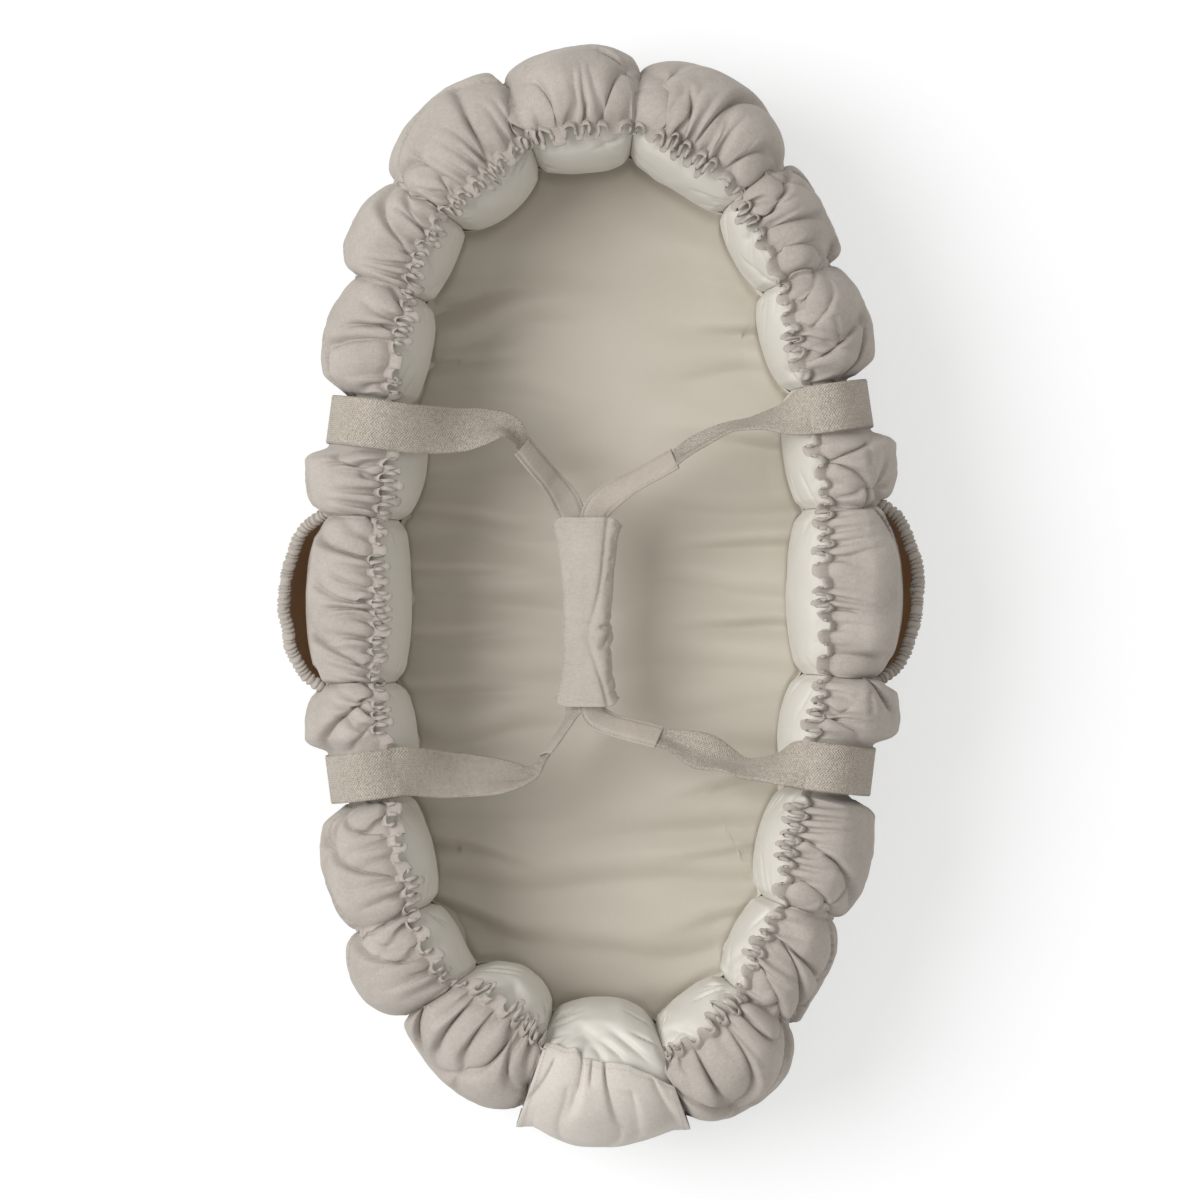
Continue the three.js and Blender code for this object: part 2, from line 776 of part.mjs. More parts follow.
function addArm(name) {
  const side = name.split('_')[1];
  const { share, inner, outer } = strapCourse(name);
  const last = inner.length - 1;
  const middle = (i) => wallPlace(
    share,
    (inner[i][0] + outer[i][0]) / 2,
    (inner[i][1] + outer[i][1]) / 2,
  );
  const leaving = middle(last).sub(middle(last - 1)).normalize();
  const start = middle(last).addScaledVector(leaving, clearance * 2);
  const lead = start.clone().addScaledVector(leaving, webbingWidth * armLeadShare);
  const curve = handleCurve(side);
  const atHead = name.startsWith('head');
  const seam = handleSeam(name);
  const away = curve.getTangentAt(atHead ? 0 : 1).multiplyScalar(atHead ? -1 : 1);
  const end = seam.clone().addScaledVector(away, clearance);
  const before = seam.clone().addScaledVector(away, webbingWidth / 2);
  const places = armMiddleShares[name].map(([x, y, z]) => (
    new THREE.Vector3(x * ringHalfWidth, y * ringHalfLength, z * wallTop)
  ));
  const route = new THREE.CatmullRomCurve3([start, lead, ...places, before, end], false, 'centripetal');
  const rolls = armRollDegrees[name];
  const rollAt = (t) => {
    const part = t * (rolls.length - 1);
    const i = Math.min(Math.floor(part), rolls.length - 2);
    return mix(rolls[i], rolls[i + 1], part - i) * degree * (atHead ? 1 : -1);
  };
  const half = webbingWidth / 2;
  const section = bandOutline.map(([u, v]) => [u * half, (v - 0.5) * webbingThickness]);
  addPiece(`strap_arm_${name}`, loft(ribbonRings(route, armSteps, rollAt, section), bandOutline), webbing);
}

// Grip wrap: linen round both handles, its flap closed by hook and loop tape on the right

const gripPower = 2.6;
const wrapStartDegrees = 176;
const wrapEndDegrees = 398;
const flapEndDegrees = 172;
const flapStartDegrees = -8;
const tapeStartDegrees = -4;
const tapeEndDegrees = 36;
const gripSteps = 6;
const wrapSteps = 12;
const tapeSteps = 4;
const tapeEndShare = 0.06;

function gripPoint(t, angle, ease) {
  const [cosine, sine] = [Math.cos(angle), Math.sin(angle)];
  const power = 2 / gripPower;
  return new THREE.Vector3(
    -gripLeftOfMiddle + (gripHalfAt(t) + ease) * Math.sign(cosine) * Math.abs(cosine) ** power,
    -gripFootwards + gripLength * (t - 0.5),
    gripHeight + (gripHalfDepth + ease) * Math.sign(sine) * Math.abs(sine) ** power,
  );
}

// A curved layer of the wrap between two angles in degrees, ease outwards at each angle
function gripLayer(from, to, steps, easeAt, thickness, endShare = 0) {
  const angles = Array.from({ length: steps + 1 }, (_, i) => mix(from, to, i / steps));
  const rings = Array.from({ length: gripSteps + 1 }, (_, row) => {
    const t = mix(endShare, 1 - endShare, row / gripSteps);
    const side = (extra) => angles.map((angle) => (
      gripPoint(t, angle * degree, easeAt(angle) + extra)
    ));
    return [...side(thickness), ...side(0).toReversed()];
  });
  const flat = rings[0].map((p) => [p.x, p.z]);
  return loft(rings, flat);
}

const loopEase = linenThickness + tapeEase;
const hookEase = loopEase + tapeThickness + clearance;
const flapLift = hookEase + tapeThickness + tapeEase;
const liftEndDegrees = 60;
const liftStartDegrees = 120;
function flapEaseAt(angle) {
  const part = THREE.MathUtils.smoothstep(angle, liftEndDegrees, liftStartDegrees);
  return flapLift * (1 - part);
}

chambers.forEach((_, index) => addChamber(index));

const chambersOf = (start) => (
  chambers.map(({ name }, index) => (name.startsWith(start) ? index : -1)).filter((i) => i >= 0)
);
const leftSide = chambersOf('left');
const rightSide = chambersOf('right');
const headEnd = ['head_left', 'head', 'head_right'].map(chamberNamed);
addCoverPanel('cover_head_panel', headEnd, true);
addCoverPanel('cover_right_panel', rightSide, true);
addCoverPanel('cover_foot_panel', [chamberNamed('foot')], false);
addCoverPanel('cover_left_panel', leftSide, true);
addCoverElastic([...leftSide, ...headEnd, ...rightSide]);
addFootFlap();

addFlatLayer('cover_bottom', footOutline(clearance), coverFloor, linenThickness, linen);
addFlatLayer('nest_bottom', footOutline(coverEase), nestFloor, cottonThickness, cotton);
addFlatLayer('mattress_core', innerOutline(padClearance), chamberFoot, foamThickness, foam);
addFloorPad();

addPocket('left', chamberNamed('left_4'));
addPocket('right', chamberNamed('right_4'));

for (const end of ['head', 'foot']) {
  addBaseStrap(end);
  for (const side of ['left', 'right']) {
    addWallStrap(`${end}_${side}`);
    addArm(`${end}_${side}`);
  }
}

addHandle('left');
addHandle('right');
addPiece('grip_wrap', gripLayer(wrapStartDegrees, wrapEndDegrees, wrapSteps, () => 0, linenThickness), linen);
const flapLayer = gripLayer(flapStartDegrees, flapEndDegrees, wrapSteps, flapEaseAt, linenThickness);
addPiece('grip_flap', flapLayer, linen);
for (const [name, ease] of [['grip_loop_tape', loopEase], ['grip_hook_tape', hookEase]]) {
  const layer = gripLayer(
    tapeStartDegrees, tapeEndDegrees, tapeSteps, () => ease, tapeThickness, tapeEndShare,
  );
  addPiece(name, layer, hookAndLoop);
}

export default lounger;
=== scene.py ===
"""Infant lounger: an oval nest of stuffed cotton chambers in a gathered linen cover."""

import math
from collections import namedtuple

import bpy
import numpy as np
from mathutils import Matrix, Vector


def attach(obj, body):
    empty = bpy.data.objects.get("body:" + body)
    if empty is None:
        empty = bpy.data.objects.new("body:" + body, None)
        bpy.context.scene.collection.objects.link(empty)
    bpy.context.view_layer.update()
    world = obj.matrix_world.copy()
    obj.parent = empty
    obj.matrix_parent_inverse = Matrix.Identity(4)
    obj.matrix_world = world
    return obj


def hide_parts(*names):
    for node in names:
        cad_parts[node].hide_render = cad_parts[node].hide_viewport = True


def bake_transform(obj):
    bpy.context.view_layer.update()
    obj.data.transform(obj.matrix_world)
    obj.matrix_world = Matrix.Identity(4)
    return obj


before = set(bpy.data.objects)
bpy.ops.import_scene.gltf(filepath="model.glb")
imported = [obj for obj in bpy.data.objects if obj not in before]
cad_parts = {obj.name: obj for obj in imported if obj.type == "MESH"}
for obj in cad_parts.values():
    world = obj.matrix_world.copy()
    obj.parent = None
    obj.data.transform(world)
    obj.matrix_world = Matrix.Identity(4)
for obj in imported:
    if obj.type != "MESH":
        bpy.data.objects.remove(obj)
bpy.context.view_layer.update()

MM = 0.001
DEGREE = math.pi / 180

# Ring of the wall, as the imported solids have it
RING_HALF_WIDTH = 190 * MM
RING_HALF_LENGTH = 378 * MM
RING_POWER = 2.4
SECTION_POWER = 2.3
WALL_TOP = 178 * MM
SEAM_DIP = 13 * MM
CHAMBER_FOOT = 5.3 * MM
COVER_FOOT = 2.4 * MM
WIDEST_SHARE = 0.5
FOOT_SHARE = 0.72
SEAM_SHARE = 0.68
RUFFLE_SHARE = 0.36
FOOT_ANGLE = math.acos(FOOT_SHARE ** (SECTION_POWER / 2))

# Chambers clockwise from the head: name, share of the ring's length, then how far each stands
# out and half its plumpness, as shares of the ring's half width
CHAMBER_SHARES = [
    ("head", 0.0465, 0.028, 0.232),
    ("head_right", 0.0575, 0.022, 0.226),
    ("right_1", 0.0425, -0.014, 0.184),
    ("right_2", 0.0455, -0.018, 0.2),
    ("right_3", 0.052, -0.004, 0.2),
    ("right_4", 0.07, 0.003, 0.219),
    ("right_5", 0.049, -0.018, 0.212),
    ("right_6", 0.0505, -0.04, 0.21),
    ("right_7", 0.043, -0.034, 0.182),
    ("right_8", 0.046, 0.012, 0.245),
    ("foot", 0.059, -0.044, 0.277),
    ("left_8", 0.052, -0.076, 0.258),
    ("left_7", 0.036, 0.026, 0.21),
    ("left_6", 0.0495, 0.006, 0.2),
    ("left_5", 0.0485, -0.002, 0.203),
    ("left_4", 0.069, -0.003, 0.196),
    ("left_3", 0.05, -0.022, 0.22),
    ("left_2", 0.046, 0.002, 0.19),
    ("left_1", 0.0375, 0.038, 0.194),
    ("head_left", 0.05, 0.022, 0.256),
]
FIRST_SEAM = -0.0325
CHAMBER_NAMES = [row[0] for row in CHAMBER_SHARES]
SEAMS = FIRST_SEAM + np.concatenate([[0], np.cumsum([row[1] for row in CHAMBER_SHARES])])
CHAMBER_OUT = np.array([row[2] for row in CHAMBER_SHARES]) * RING_HALF_WIDTH
CHAMBER_HALF = np.array([row[3] for row in CHAMBER_SHARES]) * RING_HALF_WIDTH

# Cloth, bands and the rims of the pockets
LINEN = 1.4 * MM
WEBBING_WIDTH = 38 * MM
WEBBING = 1.8 * MM
POCKET_MOUTH = 118 * MM
RIM_RADIUS = 4.6 * MM


def mix(a, b, t):
    """The value t of the way from a to b."""
    return a + (b - a) * t


def smooth(low, high, x):
    """From 0 at low to 1 at high along an S curve, level beyond them."""
    t = np.clip((x - low) / (high - low), 0, 1)
    return t * t * (3 - 2 * t)


def runs_along(points):
    """Length along a line of points, from the first to each."""
    return np.concatenate([[0], np.cumsum(np.linalg.norm(np.diff(points, axis=0), axis=1))])


def directions(points):
    """Unit steps ahead along a line of points."""
    ahead = np.gradient(points, axis=0)
    return ahead / np.linalg.norm(ahead, axis=1, keepdims=True)


class Wander:
    """Smooth random values over two coordinates, repeating after a whole number of cells."""

    def __init__(self, seed, period=64):
        self.period = period
        self.cells = np.random.default_rng(seed).uniform(-1, 1, (period, 64))

    def __call__(self, x, y=0.0):
        x, y = np.broadcast_arrays(np.asarray(x, float), np.asarray(y, float))
        i, j = np.floor(x).astype(int), np.floor(y).astype(int)
        s, t = x - i, y - j
        s, t = s * s * (3 - 2 * s), t * t * (3 - 2 * t)

        def at(di, dj):
            return self.cells[(i + di) % self.period, (j + dj) % 64]

        return mix(mix(at(0, 0), at(1, 0), s), mix(at(0, 1), at(1, 1), s), t)


# Places on the ring


def ring_table(steps=2880):
    """Points of the ring clockwise from the middle of its head, and the length to each."""
    angle = np.linspace(0, 2 * math.pi, steps + 1)
    power = 2 / RING_POWER
    x = RING_HALF_WIDTH * np.sign(np.sin(angle)) * np.abs(np.sin(angle)) ** power
    y = RING_HALF_LENGTH * np.sign(np.cos(angle)) * np.abs(np.cos(angle)) ** power
    return x, y, np.concatenate([[0], np.cumsum(np.hypot(np.diff(x), np.diff(y)))])


RING_X, RING_Y, RING_RUN = ring_table()
RING_LENGTH = RING_RUN[-1]
SEAM_RUNS = SEAMS * RING_LENGTH


def away(run, place):
    """Distance along the ring from a place, the short way round."""
    return (run - place + RING_LENGTH / 2) % RING_LENGTH - RING_LENGTH / 2


# Straps: the chamber whose first seam each lies beside, the chamber that its girth is taken from,
# and its side of the seam, 1 for clockwise
STRAP_CHAMBERS = {
    "head_left": ("left_2", "left_3", -1),
    "head_right": ("right_3", "right_3", 1),
    "foot_left": ("left_5", "left_5", 1),
    "foot_right": ("right_6", "right_5", -1),
}
STRAP_MARGIN = 1 * MM
STRAP_SQUEEZE = 11 * MM
SQUEEZE_MARGIN = 14 * MM
LOOSE_MARGIN = 9 * MM


def strap_run(name):
    """Run of a strap's middle."""
    seam, _, turn = STRAP_CHAMBERS[name]
    return SEAM_RUNS[CHAMBER_NAMES.index(seam)] + turn * (WEBBING_WIDTH / 2 + STRAP_MARGIN)


def under_straps(run, margin=LOOSE_MARGIN):
    """1 under the straps, falling to 0 beside them."""
    near = []
    for name in STRAP_CHAMBERS:
        beside = np.abs(away(run, strap_run(name))) - WEBBING_WIDTH / 2
        near.append(1 - smooth(STRAP_MARGIN, margin, beside))
    return np.maximum.reduce(near)


def wall_place(run, r, z, s=0.0):
    """A point at a run round the ring, r outwards from it, z up and s along it."""
    run = np.asarray(run, float) % RING_LENGTH
    x, y = np.interp(run, RING_RUN, RING_X), np.interp(run, RING_RUN, RING_Y)

    def slope(value, half):
        return np.sign(value) * np.abs(value / half) ** (RING_POWER - 1) / half

    out_x, out_y = slope(x, RING_HALF_WIDTH), slope(y, RING_HALF_LENGTH)
    size = np.hypot(out_x, out_y)
    out_x, out_y = out_x / size, out_y / size
    return np.stack(
        np.broadcast_arrays(x + out_x * r + out_y * s, y + out_y * r - out_x * s, z), axis=-1
    )


def wall_state(run):
    """The wall's middle, half thickness and height at runs round the ring, with the chamber
    there and the place across it, from -1 to 1."""
    turned = (np.asarray(run, float) / RING_LENGTH - FIRST_SEAM) % 1 + FIRST_SEAM
    index = np.clip(np.searchsorted(SEAMS, turned, side="right") - 1, 0, len(SEAMS) - 2)
    t = (turned - SEAMS[index]) / (SEAMS[index + 1] - SEAMS[index])
    u = 2 * t - 1
    bulge = (1 - np.abs(u) ** 2.1) ** 0.66
    before, after = (index - 1) % len(CHAMBER_NAMES), (index + 1) % len(CHAMBER_NAMES)
    out, half = CHAMBER_OUT, CHAMBER_HALF
    seam_out = mix((out[before] + out[index]) / 2, (out[index] + out[after]) / 2, t)
    seam_half = SEAM_SHARE * mix((half[before] + half[index]) / 2, (half[index] + half[after]) / 2, t)
    squeeze = STRAP_SQUEEZE / 2 * under_straps(run, SQUEEZE_MARGIN)
    return {
        "out": mix(seam_out, out[index], bulge) - squeeze,
        "half": mix(seam_half, half[index], bulge) - squeeze,
        "top": mix(WALL_TOP - SEAM_DIP, WALL_TOP, bulge),
        "index": index,
        "u": u,
    }


def section(angle, half, top, foot):
    """The wall's section, from the foot at -FOOT_ANGLE over the crown at 90 degrees."""
    power = 2 / SECTION_POWER
    widest = mix(CHAMBER_FOOT, top, WIDEST_SHARE)
    cosine, sine = np.cos(angle), np.sin(angle)
    r = half * np.sign(cosine) * np.abs(cosine) ** power
    rise = (top - widest) * np.abs(sine) ** power
    drop = (widest - foot) * (np.abs(sine) / math.sin(FOOT_ANGLE)) ** power
    return r, widest + np.where(sine >= 0, rise, -drop)


PANEL_GAP = 0.15 * MM


def ring_columns(spacing, chambers):
    """Runs across the chambers, about spacing apart, one on each seam between them."""
    columns = []
    for index in chambers:
        low, high = SEAM_RUNS[index], SEAM_RUNS[index + 1]
        count = max(6, round((high - low) / spacing))
        columns.append(low + (high - low) * np.arange(count) / count)
    columns = np.concatenate([*columns, [SEAM_RUNS[chambers[-1] + 1]]])
    columns[0] += PANEL_GAP
    columns[-1] -= PANEL_GAP
    return columns


def softened(values, run, width):
    """Values round the closed ring, averaged over a bell of that width."""
    apart = run[:, None] - run[None, :]
    apart -= RING_LENGTH * np.round(apart / RING_LENGTH)
    weight = np.exp(-((apart / width) ** 2))
    return (weight @ values) / weight.sum(1)


TABLE_STEP = 0.8 * MM
SOFT_WIDTH = 11 * MM
SIZE_KEYS = ("out", "half", "top")
TABLE_RUN = np.arange(0, RING_LENGTH, TABLE_STEP)
TABLE = wall_state(TABLE_RUN)
SOFT_TABLE = {key: softened(TABLE[key], TABLE_RUN, SOFT_WIDTH) for key in SIZE_KEYS}


def wall_sizes(run, table=TABLE):
    """The wall's middle, half thickness and height at runs, read from a table."""
    place = np.asarray(run) % RING_LENGTH
    return [np.interp(place, TABLE_RUN, table[key], period=RING_LENGTH) for key in SIZE_KEYS]


# Meshes


def grid_faces(rows, columns, closed):
    """Quads between rings of points, with the row and the column of each."""
    i = np.arange(rows if closed else rows - 1)
    i, j = (a.ravel() for a in np.meshgrid(i, np.arange(columns), indexing="ij"))
    k, m = (i + 1) % rows, (j + 1) % columns
    corner = np.stack([i * columns + j, i * columns + m, k * columns + m, k * columns + j], axis=1)
    return corner, np.stack([i, j], axis=1)


def mesh_from(name, points, quads, caps=(), uv=None):
    """A mesh of quads and a few many-sided caps, with a UV for each corner of the quads."""
    mesh = bpy.data.meshes.new(name)
    sides = np.concatenate([np.full(len(quads), 4), [len(cap) for cap in caps]]).astype(np.int32)
    corners = np.concatenate([quads.ravel(), *[np.asarray(cap) for cap in caps]]).astype(np.int32)
    mesh.vertices.add(len(points))
    mesh.vertices.foreach_set("co", np.asarray(points, np.float32).ravel())
    mesh.loops.add(len(corners))
    mesh.loops.foreach_set("vertex_index", corners)
    mesh.polygons.add(len(sides))
    starts = np.concatenate([[0], np.cumsum(sides)[:-1]]).astype(np.int32)
    mesh.polygons.foreach_set("loop_start", starts)
    mesh.polygons.foreach_set("use_smooth", np.ones(len(sides), bool))
    if uv is not None:
        layer = mesh.uv_layers.new(name="cloth")
        flat = np.zeros((len(corners), 2), np.float32)
        flat[: quads.size] = uv.reshape(-1, 2)
        layer.data.foreach_set("uv", flat.ravel())
    mesh.update()
    mesh.validate()
    return mesh


def add_object(name, mesh, *materials):
    """A mesh as an object of the scene, with its materials."""
    piece = bpy.data.objects.new(name, mesh)
    bpy.context.scene.collection.objects.link(piece)
    for material in materials:
        mesh.materials.append(material)
    return piece


def signed_volume(points, quads):
    """Greater than zero where the quads of a closed skin face out."""
    a, b, c, d = (points[quads[:, k]] for k in range(4))
    return (np.cross(a, b) * c).sum() + (np.cross(a, c) * d).sum()


def loft(name, rings, material, closed=False, strip=False):
    """A closed skin over rings of points, facing out. Its ends are flat caps, or rows of quads
    where the rings are thin strips, or joined. Its UV runs in metres along and round."""
    rows, columns = rings.shape[:2]
    points = rings.reshape(-1, 3)
    quads, place = grid_faces(rows, columns, closed)
    along = np.linalg.norm(np.roll(rings, -1, axis=0) - rings, axis=2).mean(1)
    across = np.linalg.norm(np.roll(rings, -1, axis=1) - rings, axis=2).mean(0)
    along, across = (np.concatenate([[0], np.cumsum(a)]) for a in (along, across))
    i, j = place[:, 0], place[:, 1]
    u = np.stack([along[i], along[i], along[i + 1], along[i + 1]], axis=1)
    v = np.stack([across[j], across[j + 1], across[j + 1], across[j]], axis=1)
    uv = np.stack([u, v], axis=2)
    last = (rows - 1) * columns
    caps = []
    if strip and not closed:
        k = np.arange(columns // 2 - 1)
        ends = np.stack([k, columns - 1 - k, columns - 2 - k, k + 1], axis=1)
        quads = np.concatenate([quads, ends, ends[:, ::-1] + last])
        uv = np.concatenate([uv, np.zeros((2 * len(ends), 4, 2))])
    elif not closed:
        caps = [list(range(columns))[::-1], list(range(last, last + columns))]
    if signed_volume(points, quads) < 0:
        quads, uv = quads[:, ::-1], uv[:, ::-1]
        caps = [cap[::-1] for cap in caps]
    mesh = mesh_from(name, points, np.ascontiguousarray(quads), caps, np.ascontiguousarray(uv))
    return add_object(name, mesh, material)


def skin(name, outer, inner, material):
    """A sheet between two grids of points."""
    return loft(name, np.concatenate([outer, inner[:, ::-1]], axis=1), material, strip=True)


def normals_of(grid):
    """Unit normals over a grid of points."""
    normal = np.cross(np.gradient(grid, axis=0), np.gradient(grid, axis=1))
    return normal / np.maximum(np.linalg.norm(normal, axis=2, keepdims=True), 1e-12)


# Finishes


class Value:
    """A socket in a tree of nodes. Sums and products with it add Math nodes."""

    def __init__(self, tree, socket):
        self.tree = tree
        self.socket = socket

    def maths(self, operation, *others):
        node = self.tree.nodes.new("ShaderNodeMath")
        node.operation = operation
        for slot, item in zip(node.inputs, (self, *others)):
            plug(self.tree, slot, item)
        return Value(self.tree, node.outputs[0])

    def __add__(self, other):
        return self.maths("ADD", other)

    def __sub__(self, other):
        return self.maths("SUBTRACT", other)

    def __mul__(self, other):
        return self.maths("MULTIPLY", other)

    def __truediv__(self, other):
        return self.maths("DIVIDE", other)

    def __pow__(self, other):
        return self.maths("POWER", other)

    def __rsub__(self, other):
        return (self * -1).maths("ADD", other)

    __radd__ = __add__
    __rmul__ = __mul__

    def clamped(self, low, high):
        return self.maths("MAXIMUM", low).maths("MINIMUM", high)


def plug(tree, slot, item):
    if isinstance(item, Value):
        tree.links.new(item.socket, slot)
    else:
        slot.default_value = item


def shade(red, green, blue):
    """A colour written as it looks on screen, 0 to 255."""

    def linear(value):
        value /= 255
        return value / 12.92 if value <= 0.04045 else ((value + 0.055) / 1.055) ** 2.4

    return (linear(red), linear(green), linear(blue), 1.0)


class Nodes:
    """A tree of nodes. Its one method adds a node by kind, settings and sockets."""

    prefix = "ShaderNode"

    def node(self, kind, settings=None, sockets=None, output=0):
        node = self.tree.nodes.new(kind if "Node" in kind else self.prefix + kind)
        for key, value in (settings or {}).items():
            setattr(node, key, value)
        for key, item in (sockets or {}).items():
            plug(self.tree, node.inputs[key], item)
        return Value(self.tree, node.outputs[output])


class Finish(Nodes):
    """A Principled material and the nodes that vary it."""

    def __init__(self, name, **constants):
        self.material = bpy.data.materials.new(name)
        self.material.use_nodes = True
        self.tree = self.material.node_tree
        self.shader = self.tree.nodes["Principled BSDF"]
        for socket, value in constants.items():
            self.shader.inputs[socket.replace("_", " ")].default_value = value

    def stretched(self, coordinates, scales):
        return self.node("Mapping", {}, {"Vector": coordinates, "Scale": scales})

    def noise(self, coordinates, scale=1.0, detail=2.0):
        sockets = {"Vector": coordinates, "Scale": scale, "Detail": detail}
        return self.node("TexNoise", {}, sockets)

    def between(self, low, high, factor):
        return self.node("Mix", {"data_type": "RGBA"}, {0: factor, 6: low, 7: high}, output=2)

    def set(self, socket, value):
        plug(self.tree, self.shader.inputs[socket], value)

    def bump(self, height, distance, strength=1.0):
        sockets = {"Height": height, "Distance": distance, "Strength": strength}
        self.set("Normal", self.node("Bump", {}, sockets))

    def cloth(self):
        return self.node("TexCoord", output="UV")

    def place(self):
        return self.node("TexCoord", output="Object")


# Cells of the yarns' noise in a metre, along a yarn and across it
YARN_ALONG = 140
COTTON_ALONG = 120
YARN_ACROSS = 2200


def linen_finish(name, low, high, glow=0.0):
    """Plain linen: slubs in warp and weft, faint blotches and a fine weave. Its glow, where given,
    is painted light: an emission in the cloth's own colour that stands for light through thin cloth."""
    finish = Finish(name, Roughness=0.92, Sheen_Weight=0.12, Specular_IOR_Level=0.18, Emission_Strength=glow)
    cloth, place = finish.cloth(), finish.place()
    warp = finish.noise(finish.stretched(cloth, (YARN_ALONG, YARN_ACROSS, 1)), detail=1)
    weft = finish.noise(finish.stretched(cloth, (YARN_ACROSS, YARN_ALONG, 1)), detail=1)
    slubs = (warp + weft) * 0.5
    blotch = finish.noise(place, 26, 3)
    grain = finish.noise(place, 480, 2)
    tone = (slubs - 0.5) * 1.1 + (blotch - 0.5) * 0.8 + (grain - 0.5) * 0.5 + 0.5
    colour = finish.between(low, high, tone.clamped(0, 1))
    finish.set("Base Color", colour)
    finish.set("Emission Color", colour)
    finish.bump(slubs * 0.7 + grain * 0.5, 0.6 * MM, 0.5)
    return finish.material


def cotton_finish(name, low, high):
    """Smooth sateen cotton with a soft gloss."""
    finish = Finish(name, Sheen_Weight=0.08, Specular_IOR_Level=0.4)
    cloth, place = finish.cloth(), finish.place()
    thread = finish.noise(finish.stretched(cloth, (COTTON_ALONG, YARN_ACROSS, 1)), detail=1)
    broad = finish.noise(place, 9, 3)
    finish.set("Base Color", finish.between(low, high, (broad * 0.7 + thread * 0.3).clamped(0, 1)))
    finish.set("Roughness", (thread - 0.5) * 0.2 + 0.48)
    finish.bump(thread + finish.noise(place, 150, 2) * 0.6, 0.2 * MM, 0.3)
    return finish.material


# Weave of the webbing: width of a zigzag, and pitch of its slanting rows and of its threads
ZIGZAG_WIDTH = 9.5 * MM
ROW_PITCH = 2.3 * MM
THREAD_PITCH = 1.5 * MM


def ribs(value, pitch):
    """From 0 to 1 and back in each pitch."""
    return (value * (2 * math.pi / pitch)).maths("SINE") * 0.5 + 0.5


def webbing_finish(low, high):
    """Herringbone cotton webbing."""
    finish = Finish("webbing", Roughness=0.9, Sheen_Weight=0.1, Specular_IOR_Level=0.2)
    cloth, place = finish.cloth(), finish.place()
    along = finish.node("SeparateXYZ", {}, {"Vector": cloth}, output="X")
    across = finish.node("SeparateXYZ", {}, {"Vector": cloth}, output="Y")
    zigzag = ((across / ZIGZAG_WIDTH).maths("FRACT") - 0.5).maths("ABSOLUTE") * ZIGZAG_WIDTH
    rows, threads = ribs(along + zigzag, ROW_PITCH), ribs(across, THREAD_PITCH)
    grain = finish.noise(place, 520, 2)
    broad = finish.noise(place, 30, 3)
    tone = rows * 0.5 + threads * 0.2 + (grain - 0.5) * 1.3 + (broad - 0.5) * 0.4 + 0.17
    finish.set("Base Color", finish.between(low, high, tone.clamped(0, 1)))
    finish.bump(rows * 0.8 + threads * 0.4 + grain * 0.6, 0.6 * MM, 0.9)
    return finish.material


def plain_finish(name, low, high, roughness, grain_scale=700, height=0.2 * MM):
    """One colour with a grain that also stands up a little."""
    finish = Finish(name, Roughness=roughness, Specular_IOR_Level=0.25)
    place = finish.place()
    grain = finish.noise(place, grain_scale, 3)
    finish.set("Base Color", finish.between(low, high, (grain * 1.6 - 0.3).clamped(0, 1)))
    finish.bump(grain, height, 0.6)
    return finish.material


LINEN_FINISH = linen_finish("cover_linen", shade(161, 155, 148), shade(201, 195, 189))
SLEEVE_FINISH = linen_finish("handle_linen", shade(167, 159, 149), shade(197, 189, 180))
GRIP_FINISH = linen_finish("grip_linen", shade(169, 163, 154), shade(200, 194, 185))
# Pocket lining: partly a brown cloth, partly painted warm shade for the pocket's depth, with a painted glow
# that lightens it
LINING_PAINTED_LIGHT_FINISH = linen_finish("pocket_lining_painted_light", shade(150, 112, 78), shade(182, 144, 108), glow=0.135)
COTTON_FINISH = cotton_finish("nest_cotton", shade(212, 209, 202), shade(226, 224, 218))
# Foot flap: the cover's linen made lighter, painted light on a flap that faces away from the sun
FLAP_PAINTED_LIGHT_FINISH = linen_finish("flap_linen_painted_light", shade(193, 188, 182), shade(223, 219, 213))
# Floor pad: the nest's cotton made darker, painted shade for the pad's place low inside the walls
PAD_PAINTED_SHADE_FINISH = cotton_finish("pad_cotton_painted_shade", shade(193, 187, 175), shade(207, 202, 191))
WEBBING_FINISH = webbing_finish(shade(146, 137, 126), shade(212, 205, 195))
ELASTIC_FINISH = plain_finish("elastic", shade(214, 206, 192), shade(238, 232, 220), 0.7)
FOAM_FINISH = plain_finish("foam", shade(232, 224, 204), shade(246, 240, 224), 1.0, 260, 0.8 * MM)
HOOK_FINISH = plain_finish("hook_loop", shade(214, 204, 184), shade(244, 238, 224), 1.0, 900, 0.9 * MM)
THREAD_FINISH = plain_finish("thread", shade(182, 172, 158), shade(218, 208, 194), 0.8)


# Patterns that repeat, made with Geometry Nodes


